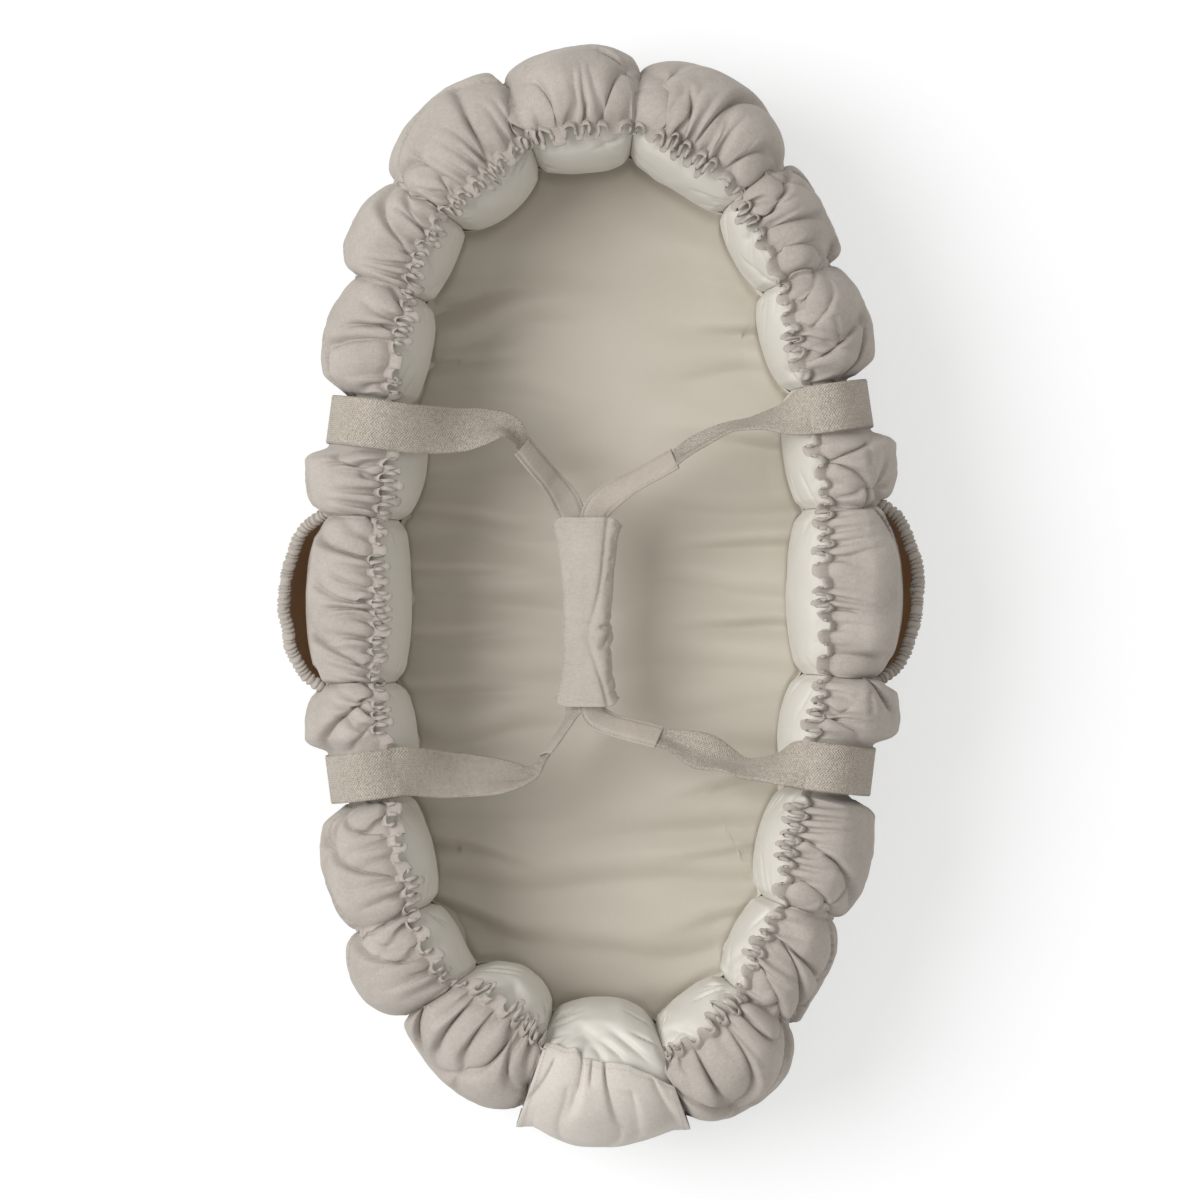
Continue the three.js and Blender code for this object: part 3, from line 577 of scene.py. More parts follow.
class Pattern(Nodes):
    """A Geometry Nodes tree with named sizes, put on a piece and turned into plain mesh."""

    prefix = "GeometryNode"

    def __init__(self, name, **sizes):
        self.tree = bpy.data.node_groups.new(name, "GeometryNodeTree")
        sockets = self.tree.interface
        sockets.new_socket("Geometry", in_out="INPUT", socket_type="NodeSocketGeometry")
        self.sizes = sizes
        self.keys = {}
        for key in sizes:
            socket = sockets.new_socket(key, in_out="INPUT", socket_type="NodeSocketFloat")
            self.keys[key] = socket.identifier
        sockets.new_socket("Geometry", in_out="OUTPUT", socket_type="NodeSocketGeometry")
        self.start = self.tree.nodes.new("NodeGroupInput")
        self.end = self.tree.nodes.new("NodeGroupOutput")

    def size(self, key):
        return Value(self.tree, self.start.outputs[key])

    def line(self, spacing):
        """The piece's edges as curves with points a spacing apart."""
        curve = self.node("MeshToCurve", {}, {"Mesh": self.size("Geometry")})
        return self.node("ResampleCurve", {"mode": "LENGTH"}, {"Curve": curve, "Length": spacing})

    def finish(self, geometry, material):
        real = self.node("RealizeInstances", {}, {"Geometry": geometry})
        done = self.node("SetMaterial", {}, {"Geometry": real, "Material": material})
        plug(self.tree, self.end.inputs["Geometry"], done)

    def grow(self, name, runs, **sizes):
        """The pattern along one or more lines of points, as a new piece."""
        points = np.concatenate(runs)
        edges, start = [], 0
        for run in runs:
            edges += [(start + k, start + k + 1) for k in range(len(run) - 1)]
            start += len(run)
        lines = bpy.data.meshes.new(name + "_line")
        lines.from_pydata(points.tolist(), edges, [])
        piece = add_object(name, lines)
        modifier = piece.modifiers.new("pattern", "NODES")
        modifier.node_group = self.tree
        for key, value in {**self.sizes, **sizes}.items():
            modifier[self.keys[key]] = value
        graph = bpy.context.evaluated_depsgraph_get()
        made = bpy.data.meshes.new_from_object(piece.evaluated_get(graph))
        piece.modifiers.remove(modifier)
        piece.data = made
        made.name = name
        bpy.data.meshes.remove(lines)
        for polygon in made.polygons:
            polygon.use_smooth = True
        return piece


def stitch_pattern():
    """Beads of thread along a seam."""
    pattern = Pattern("stitches", Pitch=3.2 * MM, Length=2.3 * MM, Thickness=0.55 * MM)
    line = pattern.line(pattern.size("Pitch"))
    bead = pattern.node("MeshUVSphere", {}, {"Segments": 6, "Rings": 4, "Radius": 0.5})
    heading = pattern.node("InputTangent")
    turned = pattern.node("FunctionNodeAlignRotationToVector", {"axis": "X"}, {"Vector": heading})
    length, thickness = pattern.size("Length"), pattern.size("Thickness")
    scale = pattern.node("ShaderNodeCombineXYZ", {}, {"X": length, "Y": thickness, "Z": thickness})
    sockets = {"Points": line, "Instance": bead, "Rotation": turned, "Scale": scale}
    pattern.finish(pattern.node("InstanceOnPoints", {}, sockets), THREAD_FINISH)
    return pattern


def rim_pattern():
    """A gathered tube: ribs of cloth drawn up along a cord."""
    pattern = Pattern("gathered_rim", Radius=RIM_RADIUS, Pitch=4.0 * MM, Depth=2.6 * MM, Spacing=0.45 * MM)
    line = pattern.line(pattern.size("Spacing"))
    along = pattern.node("SplineParameter", output="Length")
    settings = {"data_type": "FLOAT", "domain": "POINT"}
    sockets = {"Geometry": line, "Name": "along", "Value": along}
    marked = pattern.node("StoreNamedAttribute", settings, sockets)
    round_profile = {"Resolution": 20, "Radius": pattern.size("Radius")}
    circle = pattern.node("CurvePrimitiveCircle", {}, round_profile)
    sockets = {"Curve": marked, "Profile Curve": circle, "Fill Caps": True}
    tube = pattern.node("CurveToMesh", {}, sockets)
    run = pattern.node("InputNamedAttribute", {"data_type": "FLOAT"}, {"Name": "along"})
    place = pattern.node("InputPosition")
    height = pattern.node("ShaderNodeSeparateXYZ", {}, {"Vector": place}, output="Z")
    sockets = {"W": run * 140.0, "Scale": 1.0, "Detail": 1.0}
    uneven = pattern.node("ShaderNodeTexNoise", {"noise_dimensions": "1D"}, sockets)
    local = pattern.node("ShaderNodeTexNoise", {}, {"Vector": place, "Scale": 170.0, "Detail": 1.0})
    skewed = run + (uneven - 0.5) * 7.0 * MM + (height - POCKET_MOUTH) * 0.35
    wave = (skewed * math.pi / pattern.size("Pitch")).maths("SINE").maths("ABSOLUTE") ** 0.65
    rise = (wave - 0.75) * pattern.size("Depth") * (0.55 + local * 0.9)
    normal = pattern.node("InputNormal")
    offset = pattern.node("ShaderNodeVectorMath", {"operation": "SCALE"}, {0: normal, "Scale": rise})
    moved = pattern.node("SetPosition", {}, {"Geometry": tube, "Offset": offset})
    pattern.finish(moved, LINEN_FINISH)
    return pattern


STITCHES = stitch_pattern()
GATHERED_RIM = rim_pattern()


def dress(piece, body, slot, *nodes):
    """A piece rides with its body and stands for its nodes. Its slot is not used."""
    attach(piece, body)
    if nodes:
        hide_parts(*nodes)


def sew(name, runs, body, **sizes):
    """Stitches along lines of points, that ride with a body."""
    dress(STITCHES.grow(name, runs, **sizes), body, "cover_linen")


# Camera, light and floor

CAMERA_HEIGHT = 9.0
CAMERA_SIDE = -0.78 * MM
FRAME_AT_WALL = 0.936
SENSOR = 36
FARTHEST_SEEN = 30
SUN_STRENGTH = 2.0
SUN_SPREAD = 36 * DEGREE
SUN_RISE = 50 * DEGREE
SUN_TRAVEL = (0.98, -0.18)
SUN_COLOUR = (1.0, 0.99, 0.97)
ROOM_COLOUR = (1.0, 0.965, 0.92, 1)
ROOM_STRENGTH = 0.54
FLOOR_COLOUR = (0.82, 0.82, 0.82, 1)
FLOOR_SEEN_COLOUR = (0.435, 0.45, 0.465, 1)
FLOOR_GLOW = 0.585
FLOOR_HALF = 12.0


def add_camera():
    """Straight above the nest, as in the photograph."""
    data = bpy.data.cameras.new("camera")
    data.sensor_width = SENSOR
    data.lens = SENSOR * (CAMERA_HEIGHT - WALL_TOP) / FRAME_AT_WALL
    data.clip_end = FARTHEST_SEEN
    camera = bpy.data.objects.new("camera", data)
    camera.location = (CAMERA_SIDE, 0, CAMERA_HEIGHT)
    bpy.context.scene.collection.objects.link(camera)
    bpy.context.scene.camera = camera
    bpy.context.scene.view_settings.view_transform = "Standard"


def add_light():
    """A broad sun from the left over an even, slightly warm room."""
    data = bpy.data.lights.new("window", "SUN")
    data.energy = SUN_STRENGTH
    data.angle = SUN_SPREAD
    data.color = SUN_COLOUR
    lamp = bpy.data.objects.new("window", data)
    across, along = SUN_TRAVEL
    travel = Vector((across * math.cos(SUN_RISE), along * math.cos(SUN_RISE), -math.sin(SUN_RISE)))
    lamp.rotation_euler = travel.to_track_quat("-Z", "Y").to_euler()
    bpy.context.scene.collection.objects.link(lamp)
    world = bpy.data.worlds.new("studio")
    world.use_nodes = True
    background = world.node_tree.nodes["Background"]
    background.inputs["Color"].default_value = ROOM_COLOUR
    background.inputs["Strength"].default_value = ROOM_STRENGTH
    bpy.context.scene.world = world


def add_floor():
    """A pale floor that lights the object as grey paper does and looks brighter to the camera."""
    finish = Finish("studio_floor", Roughness=1.0, Specular_IOR_Level=0.0)
    finish.set("Base Color", FLOOR_COLOUR)
    plain = Value(finish.tree, finish.shader.outputs[0])
    bright = finish.node("BsdfDiffuse", {}, {"Color": FLOOR_SEEN_COLOUR})
    glow = finish.node("Emission", {}, {"Strength": FLOOR_GLOW})
    both = finish.node("AddShader", {}, {0: bright, 1: glow})
    seen = finish.node("LightPath", output="Is Camera Ray")
    chosen = finish.node("MixShader", {}, {0: seen, 1: plain, 2: both})
    plug(finish.tree, finish.tree.nodes["Material Output"].inputs["Surface"], chosen)
    points = np.array([[x, y, 0] for x, y in ((-1, -1), (1, -1), (1, 1), (-1, 1))]) * FLOOR_HALF
    floor = add_object("floor", mesh_from("floor", points, np.array([[0, 1, 2, 3]])), finish.material)


# Folds

# A fold line down the cloth: a steep valley with a fuller side that leans over it. It has a run
# round the ring, a start and a length down the cloth, a depth from 0 to 1, a slant and a bow along
# the ring, a narrow width at its start and a wide one at its end, and the side of its lean
Crease = namedtuple("Crease", "run start length depth slant bow narrow wide lean")


def fold_fields(run, down, creases, steep=0.22):
    """How deep the creases cut, from 0 to 1, and how far their full sides lean, over a grid of
    runs and distances down the cloth."""
    whole = np.ones(np.broadcast_shapes(run.shape, down.shape))
    lean = np.zeros_like(whole)
    for crease in creases:
        past = down - crease.start
        t = past / crease.length
        middle = crease.run + crease.slant * past + crease.bow * past * np.abs(past) / crease.length
        apart = away(run, middle)
        width = mix(crease.narrow, crease.wide, np.clip(t, 0, 1))
        side = np.where(apart * crease.lean > 0, width, width * steep)
        cut = np.exp(-(np.sqrt(apart**2 + (0.3 * width) ** 2) - 0.3 * width) / side)
        fade = smooth(-0.04, 0.02, t) * (1 - smooth(0.5, 1.0, t))
        whole *= 1 - crease.depth * fade * cut
        full = np.exp(-(((apart * crease.lean - width) / width) ** 2))
        lean -= crease.lean * crease.depth * fade * full
    return 1 - whole, lean


# Linen cover: one sheet over the outside and the crown, gathered along its casing

COVER_EASE = 2.3 * MM
CASING_START = 0.22
CASING_SPAN = RUFFLE_SHARE - CASING_START
CASING_WIDTH = 5.7 * MM
FRILL_LOOP = 5.0 * MM
FRILL_RISE = 7.8 * MM
FRILL_CLOTH = 1.4 * MM
GATHER_RISE = 5.2 * MM
BODY_ROWS = 60
CASING_ROWS = 15
COVER_LOWEST = 2.15 * MM
COVER_SPACING = 0.78 * MM
FOOT_CHAMBER = CHAMBER_NAMES.index("foot")
FOOT_LOW, FOOT_HIGH = SEAM_RUNS[FOOT_CHAMBER], SEAM_RUNS[FOOT_CHAMBER + 1]
FOOT_MIDDLE, FOOT_HALF = (FOOT_LOW + FOOT_HIGH) / 2, (FOOT_HIGH - FOOT_LOW) / 2

# Lengths down the cover are measured at this run, in the chamber right_3
MEASURED_RUN = SEAM_RUNS[4] + 40 * MM

# Gathers along the casing, in millimetres: pitches, how often each comes, and where wide begins
GATHER_PITCHES = [8.5, 11.0, 14.5, 20.0]
GATHER_SHARES = [0.24, 0.28, 0.28, 0.2]
WIDE_GATHER = 16

# At distances below the casing, in millimetres: fullness of the rolls, and the gathers' height
FULLNESS_PLACES = [-15, -9, -3, 0, 6, 22, 52, 80, 120, 220]
FULLNESS = [2.0, 2.4, 2.8, 3.0, 6.6, 12.0, 13.2, 10.4, 5.4, 0.7]
GATHER_DROPS = [-6, 0, 6, 17, 34]
GATHER_HEIGHT_SHARES = [0.6, 0.8, 1.0, 0.6, 0]


def crown_angle(reach):
    """Angle of the section where it lies reach, a share of the half thickness, inside the ring."""
    return math.pi / 2 + np.arcsin(np.sign(reach) * np.minimum(np.abs(reach), 0.98) ** (SECTION_POWER / 2))


def cover_place(run, angle, ease, shape_run=None):
    """Points of the cover. shape_run gives the runs whose girth is taken, where it isn't its own."""
    own = run if shape_run is None else shape_run
    bridge = 0.15 * smooth(60 * DEGREE, 100 * DEGREE, angle)
    sizes = zip(wall_sizes(own), wall_sizes(own, SOFT_TABLE))
    out, half, top = (mix(plain, soft, bridge) for plain, soft in sizes)
    r, z = section(angle, half + ease, top + ease, COVER_FOOT)
    return wall_place(run, out + r, z)


def make_gathers():
    """The folds along the casing: where each begins, its size and the depth of its valley."""
    rng = np.random.default_rng(41)
    steps = []
    while sum(steps) < RING_LENGTH:
        pitch = rng.choice(GATHER_PITCHES, p=GATHER_SHARES)
        steps.append(pitch * rng.uniform(0.8, 1.2) * MM)
    places = np.concatenate([[0], np.cumsum(steps)]) * RING_LENGTH / sum(steps)
    wide = np.diff(places) > WIDE_GATHER * MM
    size = rng.uniform(0.45, 1.35, len(wide)) * np.where(wide, 0.6, 1.0)
    return places, size, rng.uniform(0.35, 1.0, len(wide))


GATHER_PLACES, GATHER_SIZES, GATHER_DEPTHS = make_gathers()


def chamber_run(name, share):
    """Run at a share of the way across a chamber."""
    index = CHAMBER_NAMES.index(name)
    return mix(SEAM_RUNS[index], SEAM_RUNS[index + 1], share)


# Short seams in the cover's face below its casing: middle, half length and distance down
SEAM_MARKS = [
    (chamber_run("right_3", 0.58), 9 * MM, 27 * MM),
    (chamber_run("right_3", 0.93), 8 * MM, 28 * MM),
    (chamber_run("right_2", 0.55), 10 * MM, 22 * MM),
    (chamber_run("right_5", 0.22), 8 * MM, 26 * MM),
]
# Main slope of the folds on each chamber, along the ring for each step down the side
FOLD_SLOPES = {
    "head": 0.1, "head_right": -0.35, "right_1": 0.3, "right_2": -0.55, "right_3": 0.25, "right_4": 0.1,
    "right_5": -0.5, "right_6": 0.5, "right_7": 0.75, "right_8": 0.35, "foot": 0.0, "left_8": -0.3,
    "left_7": 0.4, "left_6": 0.6, "left_5": -0.85, "left_4": 0.15, "left_3": -0.4, "left_2": -0.3,
    "left_1": 0.45, "head_left": 0.3,
}
# Kinds of fold at a gather: share of them, least and greatest length in millimetres, depth, and
# full width at the end in millimetres
FOLD_KINDS = [
    (0.46, 0, 0, 0.0, 0),
    (0.26, 10, 24, 0.55, 4.5),
    (0.2, 30, 60, 0.8, 8.5),
    (0.08, 70, 120, 0.95, 12.0),
]

# Large folds: chamber, place across it, start, length, depth, slope, bow, width and lean, with the
# start, the length and the width in millimetres
LARGE_FOLDS = [
    ("left_5", 0.93, -4, 120, 1.0, -0.95, 0.25, 17, -1), ("left_5", 0.6, 2, 100, 0.95, -0.8, 0.2, 14, -1),
    ("left_4", 0.12, 4, 80, 0.9, 0.75, -0.3, 13, 1), ("left_4", 0.5, 8, 46, 0.6, 0.3, 0.2, 10, 1),
    ("left_3", 0.3, -2, 70, 0.85, 0.5, 0.3, 12, 1), ("left_2", 0.55, 0, 84, 0.85, -0.4, 0.2, 13, -1),
    ("left_1", 0.4, -2, 96, 0.95, 0.7, -0.2, 14, 1), ("left_1", 0.75, 2, 70, 0.85, 0.5, 0.0, 11, 1),
    ("head_left", 0.28, 0, 110, 0.95, -0.45, 0.2, 15, -1), ("head_left", 0.62, 2, 90, 0.9, 0.3, -0.2, 13, 1),
    ("head", 0.3, 0, 80, 0.9, -0.3, 0.0, 12, -1), ("head", 0.72, 0, 74, 0.9, 0.35, 0.0, 12, 1),
    ("head_right", 0.22, 0, 96, 0.95, -0.35, 0.1, 14, -1), ("head_right", 0.5, 4, 110, 0.9, 0.15, 0.2, 15, 1),
    ("head_right", 0.78, 0, 84, 0.9, 0.4, 0.0, 13, 1), ("right_1", 0.35, 0, 100, 1.0, -0.5, 0.25, 15, -1),
    ("right_1", 0.7, 6, 70, 0.8, 0.5, 0.0, 11, 1), ("right_2", 0.3, 0, 92, 0.95, -0.75, 0.2, 14, -1),
    ("right_2", 0.78, 2, 104, 0.95, -0.55, 0.2, 15, -1), ("right_3", 0.62, 0, 90, 0.95, -0.45, 0.2, 13, -1),
    ("right_3", 0.9, 4, 80, 0.9, -0.2, 0.1, 12, -1), ("right_5", 0.35, 0, 90, 0.9, 0.6, 0.0, 14, 1),
    ("right_6", 0.4, 0, 110, 0.95, 0.7, -0.2, 15, 1), ("right_6", 0.75, 2, 92, 0.9, 0.45, 0.0, 13, 1),
    ("right_7", 0.3, 0, 120, 1.0, 0.9, -0.2, 16, 1), ("right_7", 0.7, 0, 100, 0.95, 0.7, 0.0, 14, 1),
    ("right_8", 0.35, 2, 96, 0.9, 0.3, 0.2, 14, 1), ("right_8", 0.7, 0, 110, 0.95, 0.1, -0.2, 15, -1),
    ("left_8", 0.3, 0, 110, 0.95, 0.2, 0.2, 15, 1), ("left_8", 0.58, 2, 90, 0.9, -0.25, 0.0, 13, -1),
    ("left_8", 0.8, 0, 80, 0.9, -0.35, 0.1, 12, -1), ("left_7", 0.45, 0, 110, 0.95, 0.55, 0.2, 15, 1),
    ("left_6", 0.35, 0, 110, 0.95, 0.5, 0.2, 15, 1), ("left_6", 0.7, 2, 84, 0.9, 0.6, 0.0, 13, 1),
]


def body_creases():
    """Creases down the cover: the large folds, some from each gather, and one at every seam with
    short ones that run into it."""
    rng = np.random.default_rng(7)
    creases = []
    for name, share, start, length, depth, slope, bow, wide, lean in LARGE_FOLDS:
        run = chamber_run(name, share)
        creases.append(Crease(run, start * MM, length * MM, depth, slope, bow, 3.4 * MM, wide * MM, lean))
    for place, depth in zip(GATHER_PLACES[:-1], GATHER_DEPTHS):
        state = wall_state(place)
        slope = FOLD_SLOPES[CHAMBER_NAMES[int(state["index"])]] * (1 - abs(float(state["u"])) ** 4)
        slant = slope + rng.normal(0, 0.2)
        lean = 1 if rng.random() < 0.5 + 0.35 * np.sign(slant) else -1
        _, least, most, strength, wide = FOLD_KINDS[rng.choice(4, p=[kind[0] for kind in FOLD_KINDS])]
        if most == 0:
            continue
        creases.append(
            Crease(
                place,
                -rng.uniform(2, 13) * MM,
                rng.uniform(least, most) * MM,
                mix(0.65, 1.0, depth) * strength,
                slant,
                rng.uniform(-0.45, 0.45),
                rng.uniform(2.0, 3.4) * MM,
                wide * rng.uniform(0.8, 1.3) * MM,
                lean,
            )
        )
    for seam in SEAM_RUNS[:-1]:
        lean = 1 if rng.random() < 0.5 else -1
        creases.append(Crease(seam, -13 * MM, 360 * MM, 1.0, 0.0, 0.0, 4.4 * MM, 13 * MM, lean))
        for turn in (-1, 1):
            for _ in range(rng.integers(1, 3)):
                creases.append(
                    Crease(
                        seam + turn * rng.uniform(0, 3) * MM,
                        rng.uniform(18, 100) * MM,
                        rng.uniform(26, 60) * MM,
                        rng.uniform(0.5, 0.85),
                        turn * rng.uniform(0.5, 1.4),
                        0.0,
                        2.8 * MM,
                        rng.uniform(6, 10) * MM,
                        turn,
                    )
                )
    return creases


BODY_CREASES = body_creases()


def cover_rows():
    """How far into the casing each row of the cover is, from 1 at its edge to 0 below it, the
    rows' angles, and their distances below the casing's stitched line."""
    inside = np.linspace(1, 0, CASING_ROWS)
    t = np.linspace(0, 1, BODY_ROWS + 1)[1:]
    body = mix(crown_angle(CASING_START), -FOOT_ANGLE, t**1.25)
    angles = np.concatenate([crown_angle(CASING_START + CASING_SPAN * inside), body])[None, :]
    arc = runs_along(cover_place(np.array([[MEASURED_RUN]]), angles, 0)[0])
    down = (arc - arc[CASING_ROWS - 1])[None, :]
    return np.concatenate([inside, np.zeros(BODY_ROWS)])[None, :], angles, down


def rolled(run, down):
    """Full rolls of the cover between its creases, deepest just below the casing: how far they
    stand out, and how far they lean along the ring."""
    cell = run / RING_LENGTH
    cut, lean = fold_fields(run, down, BODY_CREASES)
    fullness = np.interp(down / MM, FULLNESS_PLACES, FULLNESS) * MM
    plump = 0.82 + 0.3 * Wander(21, 64)(cell * 64, down / (36 * MM))
    wrinkle = 0.4 * MM * Wander(22, 256)(cell * 256, down / (15 * MM) + 3)
    wrinkle = wrinkle + 0.25 * MM * Wander(23, 512)(cell * 512, down / (6 * MM) + 5)
    lift = fullness * plump * (1 - cut) + wrinkle * smooth(0, 12 * MM, down)
    return lift, 4.8 * MM * lean * smooth(-8 * MM, 8 * MM, down)


def gathered(run, down, w, lift, shift):
    """Adds the gathers below the casing and the frill that the casing makes, with its reach to and
    fro across the wall's top."""
    cell = run / RING_LENGTH
    middles = (GATHER_PLACES[1:] + GATHER_PLACES[:-1]) / 2

    def of_gather(values):
        return np.interp(run % RING_LENGTH, middles, values, period=RING_LENGTH)

    near, far, curl = Wander(31, 320), Wander(32, 128), Wander(33, 300)
    lean_here = Wander(34, 64)(cell * 64)
    number = np.arange(len(GATHER_PLACES))
    phase = 2 * math.pi * np.interp((run - 0.5 * lean_here * down) % RING_LENGTH, GATHER_PLACES, number)
    size, pitch = of_gather(GATHER_SIZES), of_gather(np.diff(GATHER_PLACES))
    height = size * np.interp(down / MM, GATHER_DROPS, GATHER_HEIGHT_SHARES)
    lift = lift + GATHER_RISE * height * (0.5 - 0.5 * np.cos(phase)) ** 0.45

    # The casing stands up from its stitched line, and its edge winds to and fro
    stand = np.sin(w * math.pi / 2)
    rise = FRILL_RISE + 1.6 * MM * far(cell * 128 + 40) + 1.0 * MM * curl(cell * 300)
    lift = lift + rise * stand
    loop = FRILL_LOOP * np.clip(size, 0.4, 1.15) * np.minimum(pitch / (9 * MM), 1.15)
    reach = -loop * np.cos(phase + 0.5 * near(cell * 320)) * mix(0.4, 1.0, stand)
    reach = reach + 2.4 * MM * far(cell * 128) * (0.4 + 0.6 * w)
    swing = pitch * np.minimum(size, 1.1) * mix(0.07, 0.165, stand) * np.sin(2 * phase)
    shift = shift + swing * (1 - smooth(0, 22 * MM, down))
    return lift, shift + 2.2 * MM * lean_here * w, reach


def held_down(run, angles, down, lift, shift, reach):
    """Lays the cover flat under the straps, the foot flap and the pockets' seams, and sinks the
    seam marks into it."""
    strap = under_straps(run)
    plain = (wall_state(run)["index"] == FOOT_CHAMBER) * 1.0
    pocket = pocket_hold(run, angles)
    lift = mix(lift, np.minimum(lift, 0.3 * MM), pocket)
    for mark_run, half_length, place in SEAM_MARKS:
        beside = 1 - smooth(half_length, half_length + 2 * MM, np.abs(away(run, mark_run)))
        lift = lift - 2.0 * MM * beside * np.exp(-(((down - place) / (1.9 * MM)) ** 2))
    body = down > 0
    lift = np.where(body, mix(lift, np.minimum(lift, 0.6 * MM), strap), lift * mix(1, 0.55, strap))
    lift = mix(np.maximum(lift, 0.15 * MM), 0.5 * MM, plain)
    shift = shift * (1 - pocket) * np.where(body, 1 - strap, 1 - 0.6 * strap) * (1 - plain)
    return lift, shift, mix(reach * mix(1, 0.5, strap), -flap_retreat(run), plain)


def cover_sheet(run):
    """Outer and inner points of the cover over columns at those runs."""
    run = run[:, None]
    w, angles, down = cover_rows()
    lift, shift, reach = gathered(run, down, w, *rolled(run, down))
    lift, shift, reach = held_down(run, angles, down, lift, shift, reach)

    # The casing moves whole, and the cloth below it follows for a short way
    share = CASING_START + CASING_SPAN * w
    follow = CASING_SPAN / CASING_WIDTH * reach * (1 - smooth(0, 16 * MM + 2 * np.abs(reach), down))
    angle = np.where(w > 0, crown_angle(share + follow), angles + follow)
    outer = cover_place(run + shift, angle, COVER_EASE + lift)
    inner = cover_place(run + shift, angle, COVER_EASE + lift - LINEN)
    normal = normals_of(outer)
    if (normal * (outer - inner)).sum() < 0:
        normal = -normal
    inner = mix(inner, outer - normal * FRILL_CLOTH, smooth(0, 0.3, w)[..., None])
    for side in (outer, inner):
        side[..., 2] = np.maximum(side[..., 2], COVER_LOWEST)
    return outer, inner


# How far the foot flap's upper edge lies behind the casing's line, in millimetres, at places from
# its right, -1, to its left, 1
RETREAT_PLACES = [-1, -0.7, -0.4, 0, 0.3, 0.42, 1]
RETREATS = [30, 17, 10, 8, 7, 1, 0]


def flap_retreat(run):
    return np.interp(away(run, FOOT_MIDDLE) / FOOT_HALF, RETREAT_PLACES, RETREATS) * MM


def pocket_hold(run, angle):
    """1 where a side pocket lies against the cover, at its side seams and foot."""
    hold = np.zeros(np.broadcast_shapes(run.shape, angle.shape))
    for name in ("left_4", "right_4"):
        index = CHAMBER_NAMES.index(name)
        low, high = SEAM_RUNS[index], SEAM_RUNS[index + 1]
        t = (away(run, (low + high) / 2) + (high - low) / 2) / (high - low)
        edge = 1 - smooth(0.06, 0.22, np.minimum(t, 1 - t))
        inside = smooth(-0.09, -0.02, t) * (1 - smooth(1.02, 1.09, t))
        low_down = 1 - smooth(26 * DEGREE, 46 * DEGREE, angle)
        foot = 1 - smooth(-35 * DEGREE, -20 * DEGREE, angle)
        hold = np.maximum(hold, inside * low_down * np.maximum(np.maximum(edge, foot), 0.62))
    return hold


def make_cover():
    """The cover's panels. Each long side is two pieces, parted in the crease at its middle seam."""
    last, left, right = len(CHAMBER_NAMES) - 1, CHAMBER_NAMES.index("left_8"), CHAMBER_NAMES.index("right_1")
    for name, node, chambers in (
        ("linen_head_panel", "cover_head_panel", [last, 0, 1]),
        ("linen_right_panel_head", "cover_right_panel", list(range(right, right + 4))),
        ("linen_right_panel_foot", "cover_right_panel", list(range(right + 4, right + 8))),
        ("linen_foot_panel", "cover_foot_panel", [FOOT_CHAMBER]),
        ("linen_left_panel_foot", "cover_left_panel", list(range(left, left + 4))),
        ("linen_left_panel_head", "cover_left_panel", list(range(left + 4, left + 8))),
    ):
        outer, inner = cover_sheet(panel_runs(chambers))
        piece = skin(name, outer, inner, LINEN_FINISH)
        dress(piece, "nest", "cover_linen", node)
        if node != "cover_foot_panel":
            line = outer[2:-2, CASING_ROWS - 1] + [0, 0, 0.15 * MM]
            sew(name.replace("panel", "casing_stitching"), [line], "nest")


def panel_runs(chambers):
    """Runs of a panel's columns. The head panel's chambers lie on both sides of the ring's start."""
    if chambers[0] > chambers[-1]:
        first = ring_columns(COVER_SPACING, chambers[:1]) - RING_LENGTH
        rest = ring_columns(COVER_SPACING, chambers[1:])
        return np.concatenate([first[:-1], rest])
    return ring_columns(COVER_SPACING, chambers)


def make_seam_marks():
    """Stitches in the short seams of the cover's face."""
    lines = []
    _, _, down = cover_rows()
    for mark_run, half_length, place in SEAM_MARKS:
        outer, _ = cover_sheet(mark_run + np.linspace(-half_length, half_length, 40))
        row = int(np.argmin(np.abs(down[0] - place)))
        lines.append(outer[:, row] + [0, 0, 0.1 * MM])
    sew("linen_seam_marks", lines, "nest", Pitch=2.4 * MM, Length=2.0 * MM)


# Stuffed chambers of the inner nest


# Satin folds that show: chamber, place across it, start, length, depth, slope, width and lean,
# with the start, the length and the width in millimetres
SATIN_FOLDS = [
    ("foot", 0.1, -30, 80, 0.9, 0.45, 12, 1), ("foot", 0.3, -24, 76, 0.9, 0.5, 12, 1),
    ("foot", 0.5, -16, 60, 1.0, 0.25, 12, 1), ("foot", 0.68, -10, 52, 0.8, -0.35, 11, -1),
    ("foot", 0.88, -4, 50, 0.7, -0.5, 11, -1),
    ("left_8", 0.28, -4, 60, 1.0, 0.5, 13, 1), ("left_8", 0.55, -4, 52, 0.9, 0.2, 12, -1),
    ("left_8", 0.8, 0, 40, 0.7, -0.4, 9, -1), ("right_8", 0.3, -2, 56, 0.9, -0.4, 12, -1),
    ("right_8", 0.62, 0, 48, 0.7, 0.3, 11, 1), ("right_7", 0.4, 0, 44, 0.8, 0.5, 10, 1),
    ("right_7", 0.75, 0, 36, 0.7, 0.3, 9, 1), ("right_2", 0.5, 2, 40, 0.8, 0.9, 9, 1),
    ("right_2", 0.88, 2, 44, 0.8, 0.8, 10, 1), ("right_1", 0.3, 2, 44, 0.8, 0.8, 10, 1),
    ("head_right", 0.4, 0, 40, 0.6, 0.3, 10, 1), ("head", 0.35, 0, 36, 0.6, -0.2, 10, -1),
    ("head_left", 0.4, 0, 44, 0.8, 0.3, 11, 1), ("left_1", 0.5, 0, 44, 0.8, -0.3, 10, -1),
]


